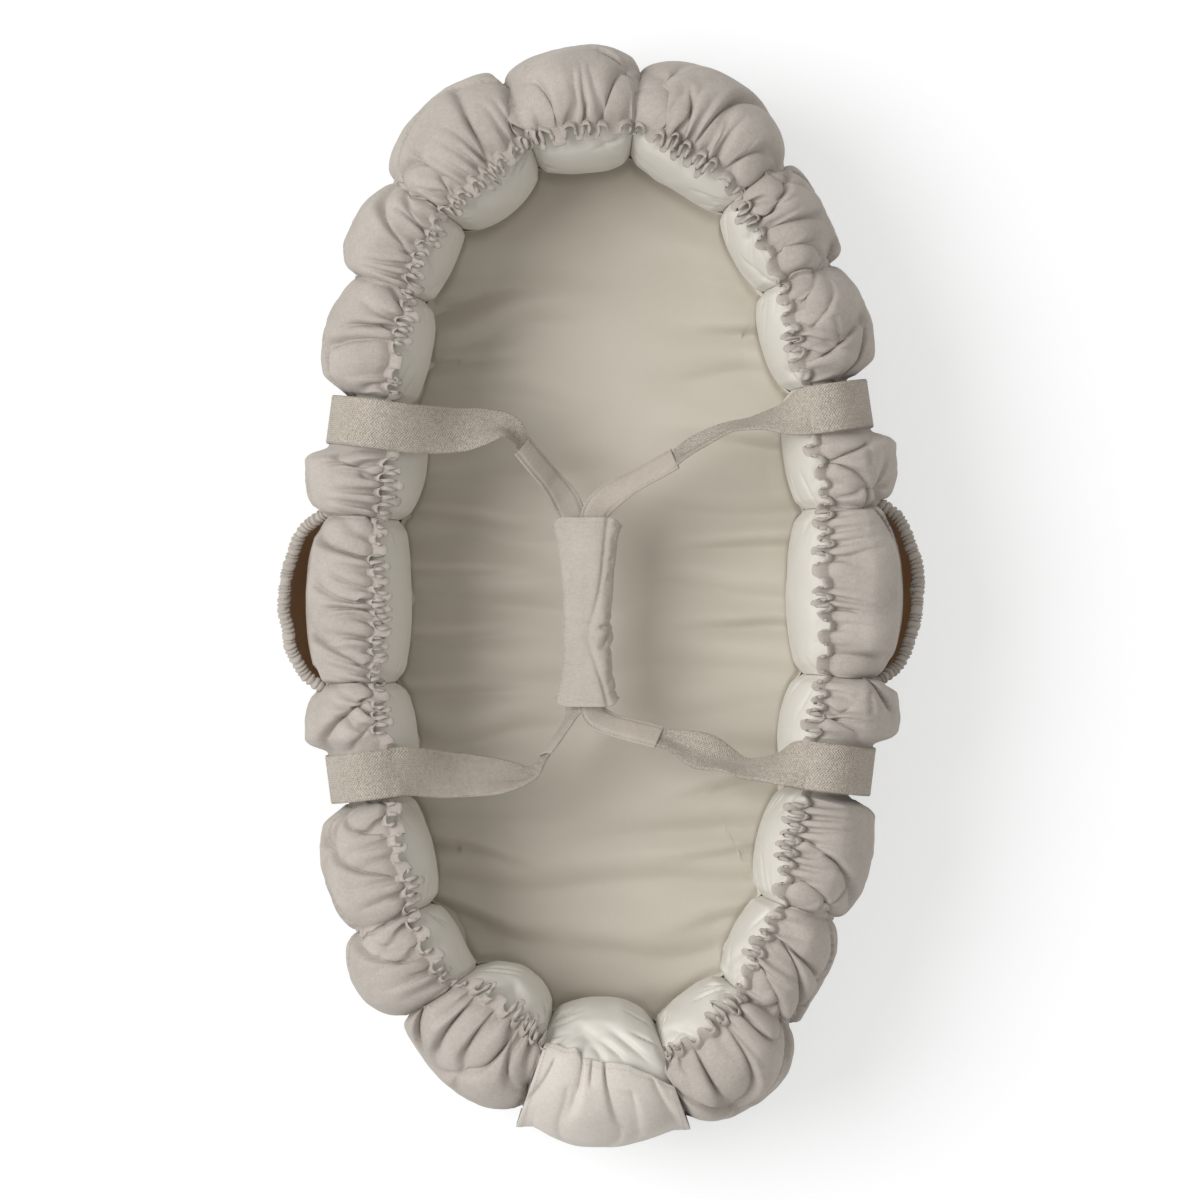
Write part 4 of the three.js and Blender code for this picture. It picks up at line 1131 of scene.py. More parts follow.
def chamber_creases(index, rng):
    """Creases of a chamber: the folds that show, small ones along its crown and short ones that
    run out of its two seams."""
    low, high = SEAM_RUNS[index], SEAM_RUNS[index + 1]
    name = CHAMBER_NAMES[index]
    strong = 1.2 if name in ("foot", "left_8", "right_8", "head", "head_left") else 0.85
    creases = []
    for chamber, place, start, length, depth, slope, wide, lean in SATIN_FOLDS:
        if chamber == name:
            run, bow = mix(low, high, place), 0.2 * lean
            creases.append(Crease(run, start * MM, length * MM, depth, slope, bow, 3 * MM, wide * MM, lean))
    place = low + rng.uniform(4, 10) * MM if name not in ("foot", "left_8", "right_8") else high
    while place < high:
        creases.append(
            Crease(
                place,
                -4 * MM,
                rng.uniform(14, 44) * MM * strong,
                min(1.0, rng.uniform(0.35, 0.9) * strong),
                rng.uniform(-0.3, 0.3),
                rng.uniform(-0.4, 0.4),
                2.0 * MM,
                rng.uniform(4.5, 9) * MM,
                rng.choice([-1, 1]),
            )
        )
        place += rng.uniform(7, 20) * MM
    for turn, seam in ((1, low), (-1, high)):
        for _ in range(rng.integers(2, 5)):
            creases.append(
                Crease(
                    seam + turn * rng.uniform(0, 4) * MM,
                    rng.uniform(2, 70) * MM,
                    rng.uniform(12, 30) * MM,
                    min(1.0, rng.uniform(0.3, 0.8) * strong),
                    turn * rng.uniform(0.6, 1.8),
                    0.0,
                    2.0 * MM,
                    4.0 * MM,
                    -turn,
                )
            )
    return creases


def make_chamber(index):
    """A stuffed chamber, closed all round, with a smooth hidden side and a creased inner one."""
    rng = np.random.default_rng(100 + index)
    name = CHAMBER_NAMES[index]
    low, high = SEAM_RUNS[index] + PANEL_GAP, SEAM_RUNS[index + 1] - PANEL_GAP
    t = np.linspace(0, 1, 64)
    t = mix((1 - np.cos(math.pi * t)) / 2, t, 0.5)
    run = mix(low, high, t)[:, None]
    hidden = np.linspace(-FOOT_ANGLE, 88 * DEGREE, 22)
    shown = np.linspace(90 * DEGREE, math.pi + FOOT_ANGLE, 76)
    angle = np.concatenate([hidden, shown])[None, :]
    state = wall_state(run)
    down = (angle - crown_angle(RUFFLE_SHARE)) * CHAMBER_HALF[index] * 1.9
    cut, lean = fold_fields(run, down, chamber_creases(index, rng), 0.5)
    full = smooth(90 * DEGREE, 106 * DEGREE, angle) * (1 - smooth(175 * DEGREE, 215 * DEGREE, angle))
    full = full * smooth(0, 0.16, 1 - np.abs(state["u"]))
    soft = 0.5 * MM * Wander(60 + index)((run - low) / (17 * MM), down / (26 * MM))
    rich = 6.2 if name in ("foot", "left_8", "right_8", "right_7") else 4.4
    lift = full * (rich * MM * (0.75 - cut) + 1.4 * soft)
    r, z = section(angle, state["half"] + lift, state["top"] + lift, CHAMBER_FOOT)
    rings = wall_place(run + 1.2 * MM * lean * full, state["out"] + r, z)
    piece = loft(f"cotton_chamber_{name}", rings, COTTON_FINISH)
    dress(piece, "nest", "nest_cotton", f"wall_chamber_{name}")


# Floor pad, its foam and the flat layers under them


PAD_FOOT = 30.6 * MM
PAD_EDGE = 43.6 * MM
PAD_CROWN = 9 * MM
PAD_CLEAR = 1.2 * MM
PAD_HALF_WIDTH, PAD_HALF_LENGTH = 155 * MM, 343 * MM


def inner_reach(run, z):
    """Distance from the ring to just clear of the chambers' inner faces at a height."""
    out, half, top = wall_sizes(run)
    widest = mix(CHAMBER_FOOT, top, WIDEST_SHARE)
    part = np.clip((widest - z) / (widest - CHAMBER_FOOT), 0, 1)
    sine = math.sin(FOOT_ANGLE) * part ** (SECTION_POWER / 2)
    return out - half * (1 - sine**2) ** (1 / SECTION_POWER) - PAD_CLEAR


# Soft folds that the side chambers push into the pad: share of the ring's half length, depth in
# millimetres, reach from the side as a share of the half width, and slope
PAD_FOLDS = {
    "left": [
        (0.66, 4.0, 1.1, 0.06), (0.52, 5.0, 0.9, 0.1), (0.42, 3.5, 1.0, -0.04), (0.25, 4.5, 1.3, 0.02),
        (0.11, 3.5, 0.9, 0.05), (-0.02, 5.0, 1.2, 0.0), (-0.15, 3.5, 1.0, -0.05), (-0.29, 5.0, 1.2, 0.03),
        (-0.44, 3.5, 1.0, -0.04), (-0.58, 4.0, 1.1, -0.08), (-0.7, 3.0, 1.2, -0.06),
        (0.59, 4.5, 0.4, 0.14), (0.47, 4.0, 0.35, 0.1), (0.34, 4.5, 0.4, 0.05), (0.17, 4.5, 0.45, 0.0),
        (0.05, 4.0, 0.35, 0.0), (-0.09, 4.0, 0.4, 0.0), (-0.21, 4.5, 0.4, 0.0), (-0.36, 4.5, 0.4, -0.05),
        (-0.51, 4.5, 0.4, -0.12), (-0.64, 4.0, 0.45, -0.16),
    ],
    "right": [
        (0.63, 3.5, 0.9, -0.08), (0.45, 3.0, 0.8, -0.03), (0.2, 3.5, 0.8, 0.02), (0.02, 3.0, 0.7, 0.0),
        (-0.14, 4.5, 1.2, 0.03), (-0.23, 4.0, 1.3, -0.02), (-0.31, 4.5, 1.2, 0.02), (-0.47, 5.0, 1.3, 0.05),
        (-0.59, 5.0, 1.4, 0.04), (-0.71, 5.0, 1.4, 0.06), (-0.82, 4.0, 1.3, 0.05),
        (0.54, 4.0, 0.35, -0.1), (0.33, 4.0, 0.4, -0.05), (0.11, 4.5, 0.45, 0.0), (-0.06, 4.5, 0.4, 0.0),
        (-0.38, 4.5, 0.45, 0.03), (-0.53, 4.0, 0.4, 0.06), (-0.66, 4.0, 0.4, 0.1),
    ],
}


def pad_height(x, y, share):
    """Height of the pad's top at places that lie a share of the way out to its rim."""
    side_part = np.abs(x / PAD_HALF_WIDTH) ** RING_POWER
    end_part = np.abs(y / PAD_HALF_LENGTH) ** RING_POWER
    across = (side_part + end_part) ** (1 / RING_POWER)
    height = PAD_EDGE + PAD_CROWN * (1 - np.minimum(across, 1) ** 2.4)
    drift = Wander(83)(x / (60 * MM) + 9, y / (55 * MM) + 20)
    for side, sign in (("left", -1), ("right", 1)):
        near = np.clip(0.5 + sign * x / RING_HALF_WIDTH, 0, 1.4)
        for place, depth, reach, slope in PAD_FOLDS[side]:
            wave = 4 * MM * np.sin(x / (38 * MM) + place * 40) + 7 * MM * drift
            apart = y - place * RING_HALF_LENGTH - slope * (x - sign * RING_HALF_WIDTH) - wave
            wide = 0.3 + 0.7 * min(reach, 1.0) ** 1.5
            steep = np.where(apart > 0, 8 * MM, 26 * MM) * wide
            soft = np.sqrt(apart**2 + (5 * MM * wide) ** 2) - 5 * MM * wide
            valley = np.exp(-soft / steep) - 0.4 * np.exp(-(((apart / wide - 22 * MM) / (16 * MM)) ** 2))
            fade = smooth(0.98 - 0.75 * reach, 1.2, near)
            height = height - 2.2 * depth * MM * valley * fade
    broad = Wander(81)(x / (80 * MM) + 9, y / (46 * MM) + 20)
    fine = Wander(82)(x / (34 * MM) + 9, y / (14 * MM) + 40)
    return height + (2.6 * MM * broad + 0.4 * MM * fine) * smooth(1.0, 0.88, np.full_like(x, share))


def make_floor_pad():
    """The pad, from the middle of its foot out to its rim and back over its top."""
    run = np.linspace(0, RING_LENGTH, 520, endpoint=False)
    top_rows = np.linspace(1, 0.004, 96) ** 0.9
    rim = wall_place(run, inner_reach(run, PAD_EDGE), 0.0)[:, :2]
    low_rim = wall_place(run, inner_reach(run, PAD_FOOT), 0.0)[:, :2]
    rows = []
    for share, z in ((0.02, PAD_FOOT), (0.5, PAD_FOOT), (0.94, PAD_FOOT), (0.985, PAD_FOOT + 2 * MM)):
        rows.append(np.column_stack([low_rim * share, np.full(len(run), z)]))
    for part in (0.35, 0.65, 0.88):
        draw = 1 - 0.004 * (1 - math.sin(math.pi * part))
        level = mix(PAD_FOOT, PAD_EDGE, part)
        rows.append(np.column_stack([mix(low_rim, rim, part) * draw, np.full(len(run), level)]))
    for share in top_rows:
        flat = rim * share
        drop = 5 * MM * smooth(0.955, 1.0, np.full(len(run), share)) ** 2
        rows.append(np.column_stack([flat, pad_height(flat[:, 0], flat[:, 1], share) - drop]))
    # The pad's darker cotton is painted shade
    piece = loft("cotton_floor_pad", np.stack(rows), PAD_PAINTED_SHADE_FINISH)
    dress(piece, "nest", "nest_cotton", "floor_pad")


# Rings of a flat layer with a softened rim: share of its outline, and share of the way up
LAYER_SHARES = [(0.01, 0), (0.6, 0), (0.985, 0), (1, 0.5), (0.985, 1), (0.6, 1), (0.01, 1)]
OVAL_SHARE = 0.8
FOAM_TOP = 30.3 * MM
FOAM_LEVEL = 12 * MM


def flat_piece(name, run, reach, low, high, material):
    """A flat layer between two heights, over the outline that lies a reach outside the ring."""
    outline = wall_place(run, reach, 0.0)[:, :2]
    rings = [
        np.column_stack([outline * share, np.full(len(outline), mix(low, high, up))])
        for share, up in LAYER_SHARES
    ]
    return loft(name, np.stack(rings), material)


def make_flat_layers():
    """The cover's bottom, the inner nest's bottom and the foam on them."""
    run = np.linspace(0, RING_LENGTH, 420, endpoint=False)
    out, half, _ = wall_sizes(run)
    foot = out + FOOT_SHARE * half
    for name, node, slot, inset, low, high, material in (
        ("linen_bottom", "cover_bottom", "cover_linen", 0.4, 2.1, 3.5, LINEN_FINISH),
        ("cotton_bottom", "nest_bottom", "nest_cotton", 0.8, 3.8, 5.0, COTTON_FINISH),
    ):
        piece = flat_piece(name, run, foot - inset * MM, low * MM, high * MM, material)
        dress(piece, "nest", slot, node)
        places = [vertex.co for vertex in piece.data.vertices]
        width, length = (max(p[k] for p in places) - min(p[k] for p in places) for k in (0, 1))
        OVAL_SHARE * width * length
    reach = inner_reach(run, FOAM_LEVEL)
    foam = flat_piece("foam_mattress", run, reach, CHAMBER_FOOT, FOAM_TOP, FOAM_FINISH)
    dress(foam, "nest", "foam", "mattress_core")


def make_elastic_band():
    """The band inside the casing, from the foot flap's left side round the head to its right."""
    run = np.arange(FOOT_HIGH + 2 * MM, FOOT_LOW + RING_LENGTH - 2 * MM, 3 * MM)[:, None]
    across = crown_angle(CASING_START + CASING_SPAN * np.linspace(0.35, 0.75, 5))[None, :]
    outer = cover_place(run, across, 1.9 * MM)
    inner = cover_place(run, across, 0.7 * MM)
    piece = skin("elastic_band", outer, inner, ELASTIC_FINISH)
    dress(piece, "nest", "elastic", "cover_elastic")


# Foot flap


# Folds of the flap: two dark pleats near the middle, then a small one and soft falls towards the
# free corners. Place from the middle, start, length, depth, slope, bow, two widths and lean, with
# the start, the length and the widths in millimetres
FLAP_FOLDS = [
    (0.3, -4, 74, 1.0, 0.04, 0.1, 2.6, 9, 1), (-0.03, -4, 78, 1.0, -0.1, -0.1, 2.6, 9, -1),
    (0.14, -4, 24, 0.6, 0.05, 0.0, 2.0, 5, -1), (0.72, 12, 110, 0.6, 0.2, 0.2, 5.0, 13, -1),
    (0.5, 30, 96, 0.45, 0.1, -0.2, 5.0, 12, -1), (-0.4, 20, 100, 0.5, -0.12, 0.2, 5.0, 12, 1),
    (-0.72, 4, 110, 0.6, -0.16, 0.1, 5.0, 13, 1), (-0.2, 60, 70, 0.5, 0.0, 0.2, 4.0, 10, 1),
]
FLAP_EASE = 3.8 * MM
FLAP_END = -0.8 * FOOT_ANGLE
FLAP_SIDE = 0.97
FLAP_FULLNESS_PLACES = [0, 6, 30, 80, 200]
FLAP_FULLNESS = [3.4, 6.4, 7.4, 5.4, 3.0]


def flap_creases():
    """The flap's folds as creases."""
    creases = []
    for place, start, length, depth, slope, bow, narrow, wide, lean in FLAP_FOLDS:
        run = FOOT_MIDDLE + place * FOOT_HALF
        creases.append(Crease(run, start * MM, length * MM, depth, slope, bow, narrow * MM, wide * MM, lean))
    return creases


def make_foot_flap():
    """The plain panel turned over the foot chamber, with its pleats and stitched edges."""
    half = FLAP_SIDE * FOOT_HALF
    run = np.linspace(FOOT_MIDDLE - half, FOOT_MIDDLE + half, 150)[:, None]
    t = np.linspace(0, 1, 100)[None, :] ** 1.1
    top = crown_angle(RUFFLE_SHARE - CASING_SPAN / CASING_WIDTH * flap_retreat(run))
    angle = mix(top, FLAP_END, t)
    middle_angles = mix(crown_angle(RUFFLE_SHARE), FLAP_END, t)
    down = runs_along(cover_place(np.array([[FOOT_MIDDLE]]), middle_angles, 0)[0])[None, :]
    cut, lean = fold_fields(run, down, flap_creases())
    fullness = np.interp(down / MM, FLAP_FULLNESS_PLACES, FLAP_FULLNESS) * MM
    slow = Wander(91)((run - FOOT_LOW) / (24 * MM), down / (30 * MM))
    fine = Wander(92)((run - FOOT_LOW) / (9 * MM), down / (16 * MM))
    lift = fullness * (1 - cut) * (0.85 + 0.25 * slow) + 0.2 * MM * fine
    edge = (run - FOOT_MIDDLE) / FOOT_HALF
    flare = smooth(0.7, FLAP_SIDE, np.abs(edge)) * smooth(60 * MM, 130 * MM, down)
    lift = lift + 1.2 * MM * smooth(0.86, FLAP_SIDE, np.abs(edge)) + 3 * MM * flare
    ease = FLAP_EASE + np.maximum(lift, 0.1 * MM)
    angle = angle + 0.03 * smooth(18 * MM, 0, down) * Wander(93)((run - FOOT_LOW) / (11 * MM))
    shift = 2.6 * MM * lean * smooth(0, 6 * MM, down) * smooth(FLAP_SIDE, 0.8, np.abs(edge))
    spread = smooth(20 * MM, 90 * MM, down)
    narrowed = np.minimum(0.8 / np.maximum(np.abs(edge), 0.8), 1)
    shape_run = FOOT_MIDDLE + FOOT_HALF * edge * mix(1, narrowed, spread)
    outer = cover_place(run + shift, angle, ease, shape_run=shape_run)
    inner = cover_place(run + shift, angle, ease - LINEN, shape_run=shape_run)
    # The flap's lighter linen is painted light
    piece = skin("linen_foot_flap", outer, inner, FLAP_PAINTED_LIGHT_FINISH)
    dress(piece, "nest", "cover_linen", "foot_flap")
    edges = [outer[3:-3, 4], outer[4, 4:-3], outer[-5, 4:-3], outer[3:-3, -4]]
    sew("foot_flap_stitching", [line + [0, 0, 0.1 * MM] for line in edges], "nest")


# Side pockets

POCKET_REACH = 59 * MM
POCKET_BELLY = 6 * MM
POCKET_FOOT = 24 * MM
POCKET_EASE = 0.7 * MM
POCKET_FULLNESS = 1.35
POCKET_GATHER = 7.2 * MM
POCKET_SIDE_SHARES = (0.004, 0.996)
CORD_RADIUS = 1.7 * MM


def cover_radius(run, z):
    """Distance of the cover's outer face from the ring at a height on the side of the wall."""
    out, half, top = wall_sizes(run)
    half, top = half + COVER_EASE, top + COVER_EASE
    widest = mix(CHAMBER_FOOT, top, WIDEST_SHARE)
    up = np.clip((z - widest) / (top - widest), 0, 1) ** SECTION_POWER
    low = np.clip((widest - z) / (widest - COVER_FOOT), 0, 1) ** (SECTION_POWER / 2) * math.sin(FOOT_ANGLE)
    return out + half * np.where(z > widest, 1 - up, 1 - low**2) ** (1 / SECTION_POWER)


def pocket_place(index, t, level, z):
    """The pocket's face at t across its chamber and a level from its foot, 0, to its mouth, 1: run
    and distance from the ring."""
    low, high = SEAM_RUNS[index], SEAM_RUNS[index + 1]
    run = mix(low, high, t)
    free = cover_radius(run, z) + POCKET_EASE
    bow = POCKET_REACH - RIM_RADIUS - cover_radius(mix(low, high, 0.5), z) - POCKET_EASE
    belly = POCKET_BELLY * np.sin(math.pi * level)
    swell = (bow * level**0.35 + belly) * np.sin(math.pi * t) ** 0.55
    return run, free + swell


def make_pocket(side, seed):
    """A bag panel that stands away from the wall, its gathered rim, the cord in it and a seam."""
    index = CHAMBER_NAMES.index(f"{side}_4")
    wander = Wander(seed)
    make_pocket_panel(side, index, wander)
    t = np.linspace(0.0, 1.0, 240)
    run, radius = pocket_place(index, np.clip(t, *POCKET_SIDE_SHARES), 1.0, POCKET_MOUTH)
    sway = 1.6 * MM * wander(t * 9 + 3) * np.sin(math.pi * t)
    dip = 3.0 * MM * np.sin(math.pi * t) ** 2 * wander(t * 3 + 11)
    end = smooth(0.07, 0.0, np.minimum(t, 1 - t))
    run = run + np.sign(t - 0.5) * 5 * MM * end
    route = wall_place(run, radius + RIM_RADIUS + sway - 9 * MM * end, POCKET_MOUTH + dip + 5 * MM * end)
    rim = GATHERED_RIM.grow(f"pocket_{side}_gathered_rim", [route])
    dress(rim, "nest", "cover_linen", f"pocket_{side}_rim")
    cord = loft(f"pocket_{side}_cord", cord_rings(route)[::4], ELASTIC_FINISH)
    dress(cord, "nest", "elastic", f"pocket_{side}_elastic")
    below = wall_place(run, radius + LINEN + 2.4 * MM + sway, POCKET_MOUTH - 8.5 * MM)
    sew(f"pocket_{side}_stitching", [below[8:-8]], "nest")


def make_pocket_panel(side, index, wander):
    """The bag's cloth, drawn into gathers towards its mouth, with its inner face as a lining whose
    brown is partly the cloth's and partly painted warm shade, and which has a painted glow.
    """
    t = np.linspace(*POCKET_SIDE_SHARES, 180)[:, None]
    level = np.linspace(0, 1, 54)[None, :]
    z = mix(POCKET_FOOT, POCKET_MOUTH - 2.6 * MM, level)
    run, radius = pocket_place(index, t, level, z)
    length = (SEAM_RUNS[index + 1] - SEAM_RUNS[index]) * POCKET_FULLNESS
    phase = t * length / POCKET_GATHER + 0.9 * wander(t * length / (16 * MM), level * 2)
    gathers = np.abs(np.sin(math.pi * phase)) ** 0.8 * level**2.2
    folds = wander(t * length / (19 * MM) + 30 + 1.4 * level, level * 2.4)
    held = np.minimum(1, 6 * np.minimum(t, 1 - t))
    folds = 3.0 * MM * folds * (0.35 + 0.65 * level) * held
    radius = radius + (1.9 * MM * gathers + folds - 0.8 * MM) * held
    outer = wall_place(run, radius + LINEN, z)
    inner = wall_place(run, radius, z)
    panel = skin(f"linen_pocket_{side}", outer, inner, LINEN_FINISH)
    # The inner faces get the lining, with its painted warm shade and painted glow
    panel.data.materials.append(LINING_PAINTED_LIGHT_FINISH)
    columns = 2 * level.size
    place = np.arange((t.size - 1) * columns) % columns
    lining = np.zeros(len(panel.data.polygons), np.int32)
    lining[: len(place)] = (place >= level.size) & (place < columns - 1)
    panel.data.polygons.foreach_set("material_index", lining)
    dress(panel, "nest", "cover_linen", f"pocket_{side}_panel")


def cord_rings(route):
    """Rings of a round cord along a route that is nearly level."""
    angle = np.linspace(0, 2 * math.pi, 10, endpoint=False)[None, :, None]
    ahead = directions(route)
    beside = np.stack([ahead[:, 1], -ahead[:, 0], 0 * ahead[:, 0]], axis=1)[2:-2, None]
    around = np.cos(angle) * beside + np.sin(angle) * [0, 0, 1.0]
    return route[2:-2, None] + CORD_RADIUS * around


# Webbing and handles

HANDLE_HALF = 11 * MM
HANDLE_POINTS = 220
SLEEVE_THICKNESS = 4.6 * MM
SLEEVE_WALL = 0.9 * MM
GRIP_LENGTH = 149 * MM
GRIP_X, GRIP_Y, GRIP_Z = -13.5 * MM, -9.5 * MM, 116 * MM
GRIP_HEAD_HALF, GRIP_WAIST_HALF, GRIP_FOOT_HALF = 23.6 * MM, 14 * MM, 21.4 * MM
GRIP_DEPTH = 9 * MM
WAIST_SHARE = 0.36
HANDLE_INSET = 2.8 * MM
HANDLE_OFFSET = 2.8 * MM
# Places that a handle passes along the grip, from its head end, as shares of the grip's length
HANDLE_SHARES = (1.05, 0.9, WAIST_SHARE, 0.06, -0.05)
# Webbing over the wall: where it leaves, how far it stands off the cover, and its rise over the casing
LEAVING_ANGLE = 105 * DEGREE
CASING_ANGLE = 67 * DEGREE
CASING_HEIGHT = 5.2 * MM
STRAP_STAND = 3.2 * MM
STRAP_FOOT = 2.1 * MM
WALL_POINTS = 110
FREE_POINTS = 130
FOLDED_HALF = 8.4 * MM
SLEEVED_HALF = 7.2 * MM
SLEEVED_WEBBING = 1.6 * MM

# Cross seams between webbing and handles, as shares of the ring's half sizes and the wall's
# height, with the handle's roll there in degrees
HANDLE_SEAMS = {
    "head_left": (-0.326, 0.32, 0.75, -36),
    "head_right": (0.305, 0.294, 0.75, 42),
    "foot_left": (-0.232, -0.323, 0.72, 76),
    "foot_right": (0.242, -0.286, 0.72, -36),
}
# Free webbing: a place on its way, its roll in degrees at even steps from the wall to the seam,
# and the depth of the fold it closes into there, in millimetres
ARMS = {
    "head_left": ((-0.6, 0.352, 0.87), (0, -6, -26, -52, -36), 5.5),
    "head_right": ((0.56, 0.36, 0.86), (0, 64, 82, 70, 42), 4.5),
    "foot_left": ((-0.6, -0.362, 0.85), (0, 6, 30, 52, 76), 8.0),
    "foot_right": ((0.58, -0.345, 0.85), (0, -60, -70, -26, -36), 6.0),
}


def curve_points(places, count):
    """Even points on a smooth curve through the places, that doesn't swing out between them."""
    places = np.array(places, float)
    places = np.concatenate([[2 * places[0] - places[1]], places, [2 * places[-1] - places[-2]]])
    pieces = []
    for p0, p1, p2, p3 in zip(places[:-3], places[1:-2], places[2:-1], places[3:]):
        d0, d1, d2 = (math.sqrt(np.linalg.norm(b - a)) for a, b in ((p0, p1), (p1, p2), (p2, p3)))
        t1 = ((p1 - p0) / d0 - (p2 - p0) / (d0 + d1) + (p2 - p1) / d1) * d1
        t2 = ((p2 - p1) / d1 - (p3 - p1) / (d1 + d2) + (p3 - p2) / d2) * d1
        t = np.linspace(0, 1, 60, endpoint=False)[:, None]
        pieces.append(
            (2 * t**3 - 3 * t**2 + 1) * p1 + (t**3 - 2 * t**2 + t) * t1
            + (3 * t**2 - 2 * t**3) * p2 + (t**3 - t**2) * t2
        )
    fine = np.concatenate([*pieces, [places[-2]]])
    return resampled(fine, count)


def resampled(points, count):
    """A count of even points along a line of points."""
    run = runs_along(points)
    at = np.linspace(0, run[-1], count)
    return np.stack([np.interp(at, run, points[:, k]) for k in range(3)], axis=1)


def ribbon_frame(points, roll):
    """Across and up directions of a ribbon along points, turned by the roll at each."""
    ahead = directions(points)
    flat = np.stack([-ahead[:, 1], ahead[:, 0], np.zeros(len(points))], axis=1)
    flat /= np.linalg.norm(flat, axis=1, keepdims=True)
    lift = np.cross(ahead, flat)
    roll = np.asarray(roll)[:, None]
    across = flat * np.cos(roll) + lift * np.sin(roll)
    return across, np.cross(ahead, across)


def band(name, points, across, up, half, valley, thickness, material, columns=21):
    """A woven band along points, with its half width and the depth of its lengthwise fold at
    each. Gives the piece and the middle of its thickness."""
    u = np.linspace(-1, 1, columns)[None, :]
    half, valley = np.asarray(half)[:, None], np.asarray(valley)[:, None]
    rise = valley * (np.abs(u) ** 1.3 * (1.25 - 0.5 * u**2) - 0.4)
    middle = points[:, None] + across[:, None] * (half * u)[..., None] + up[:, None] * rise[..., None]
    normal = normals_of(middle)
    if (normal * up[:, None]).sum() < 0:
        normal = -normal
    edge = 1 - 0.35 * smooth(0.9, 1.0, np.abs(u))[..., None]
    outer = middle + normal * thickness / 2 * edge
    inner = middle - normal * thickness / 2 * edge
    return skin(name, outer, inner, material), middle


def grip_half(t):
    """Half the grip's width along it, from its foot, 0, to its head, 1."""
    end = np.where(t < WAIST_SHARE, GRIP_FOOT_HALF, GRIP_HEAD_HALF)
    apart = np.where(t < WAIST_SHARE, (WAIST_SHARE - t) / WAIST_SHARE, (t - WAIST_SHARE) / (1 - WAIST_SHARE))
    return mix(GRIP_WAIST_HALF, end, apart**2)


def handle_seam(name):
    """Place of the seam between an arm of the webbing and its handle."""
    x, y, z, _ = HANDLE_SEAMS[name]
    return np.array([x * RING_HALF_WIDTH, y * RING_HALF_LENGTH, z * WALL_TOP])


def handle_points(side):
    """The middle of a handle, from its head seam along the grip's edge to its foot seam."""
    turn = -1 if side == "left" else 1
    places = [handle_seam(f"head_{side}")]
    for t in HANDLE_SHARES:
        x = GRIP_X + turn * (grip_half(t) - HANDLE_HALF - HANDLE_INSET)
        places.append(np.array([x, GRIP_Y + GRIP_LENGTH * (t - 0.5), GRIP_Z + turn * HANDLE_OFFSET]))
    places.append(handle_seam(f"foot_{side}"))
    return curve_points(places, HANDLE_POINTS)


def strap_course(name, angle):
    """The middle of the webbing's thickness over the wall, at angles of the section."""
    _, chamber, _ = STRAP_CHAMBERS[name]
    index = CHAMBER_NAMES.index(chamber)
    over = np.clip(angle / CASING_ANGLE, 0, 1)
    lift = CASING_HEIGHT * over + WEBBING / 2
    half = CHAMBER_HALF[index] - STRAP_SQUEEZE / 2 + STRAP_STAND + WEBBING / 2
    r, z = section(angle, half, WALL_TOP + STRAP_STAND + lift, STRAP_FOOT)
    return wall_place(strap_run(name), CHAMBER_OUT[index] - STRAP_SQUEEZE / 2 + r, z)


def strap_beside(name, turn=1.0):
    """The way across a strap, along the ring."""
    return wall_place(strap_run(name), 0, 0, turn) - wall_place(strap_run(name), 0, 0, 0.0)


def make_webbing(name):
    """One band from the lounger's foot, up its side, over the wall and on to the handle."""
    end, side = name.split("_")
    middle_place, rolls, fold_depth = ARMS[name]
    course = strap_course(name, np.linspace(-FOOT_ANGLE, LEAVING_ANGLE, 60))
    leaving = course[-1] - course[-2]
    leaving /= np.linalg.norm(leaving)
    handle = handle_points(side)
    seam, inside = (handle[0], handle[6]) if end == "head" else (handle[-1], handle[-7])
    back = (seam - inside) / np.linalg.norm(seam - inside)
    middle = np.array(middle_place) * [RING_HALF_WIDTH, RING_HALF_LENGTH, WALL_TOP]
    places = [
        course[-1],
        course[-1] + leaving * WEBBING_WIDTH / 3,
        middle,
        seam + back * WEBBING_WIDTH / 2,
        seam - back * 5 * MM,
    ]
    free = curve_points(places, FREE_POINTS)
    points = np.concatenate([resampled(course, WALL_POINTS)[:-1], free])
    part = np.concatenate([np.zeros(WALL_POINTS - 1), np.linspace(0, 1, FREE_POINTS)])
    roll = np.interp(part, np.linspace(0, 1, len(rolls)), rolls) * DEGREE * (1 if end == "head" else -1)
    bell = np.exp(-((np.arange(-12, 13) / 6) ** 2))
    roll = np.convolve(np.pad(roll, 12, mode="edge"), bell / bell.sum(), mode="valid")
    valley = fold_depth * MM * smooth(0.42, 0.82, part) * (1 - smooth(0.86, 0.985, part))
    valley = valley + 0.3 * MM * (part > 0)
    across, up = ribbon_frame(points, roll)
    beside = strap_beside(name)
    on_wall = (np.arange(len(points)) < WALL_POINTS + 2)[:, None]
    across = np.where(on_wall, beside, across)
    up = np.where(on_wall, np.cross(directions(points), beside), up)
    half = mix(WEBBING_WIDTH / 2, FOLDED_HALF, smooth(0.62, 0.975, part))
    piece, middle = band(f"webbing_{name}", points, across, up, half, valley, WEBBING, WEBBING_FINISH)
    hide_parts(f"wall_strap_{name}", f"strap_arm_{name}")
    above = normals_of(middle) * (WEBBING / 2 + 0.1 * MM)
    rows = [face[3:-6, k] for face in (middle + above, middle - above) for k in (1, -2)]
    stitching = STITCHES.grow(f"webbing_stitching_{name}", rows, Pitch=3.6 * MM)
    level = [1, 1, 0]
    first, last = free[4] * level, (seam + back * 6 * MM) * level
    for moving in (piece, stitching):
        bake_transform(moving)


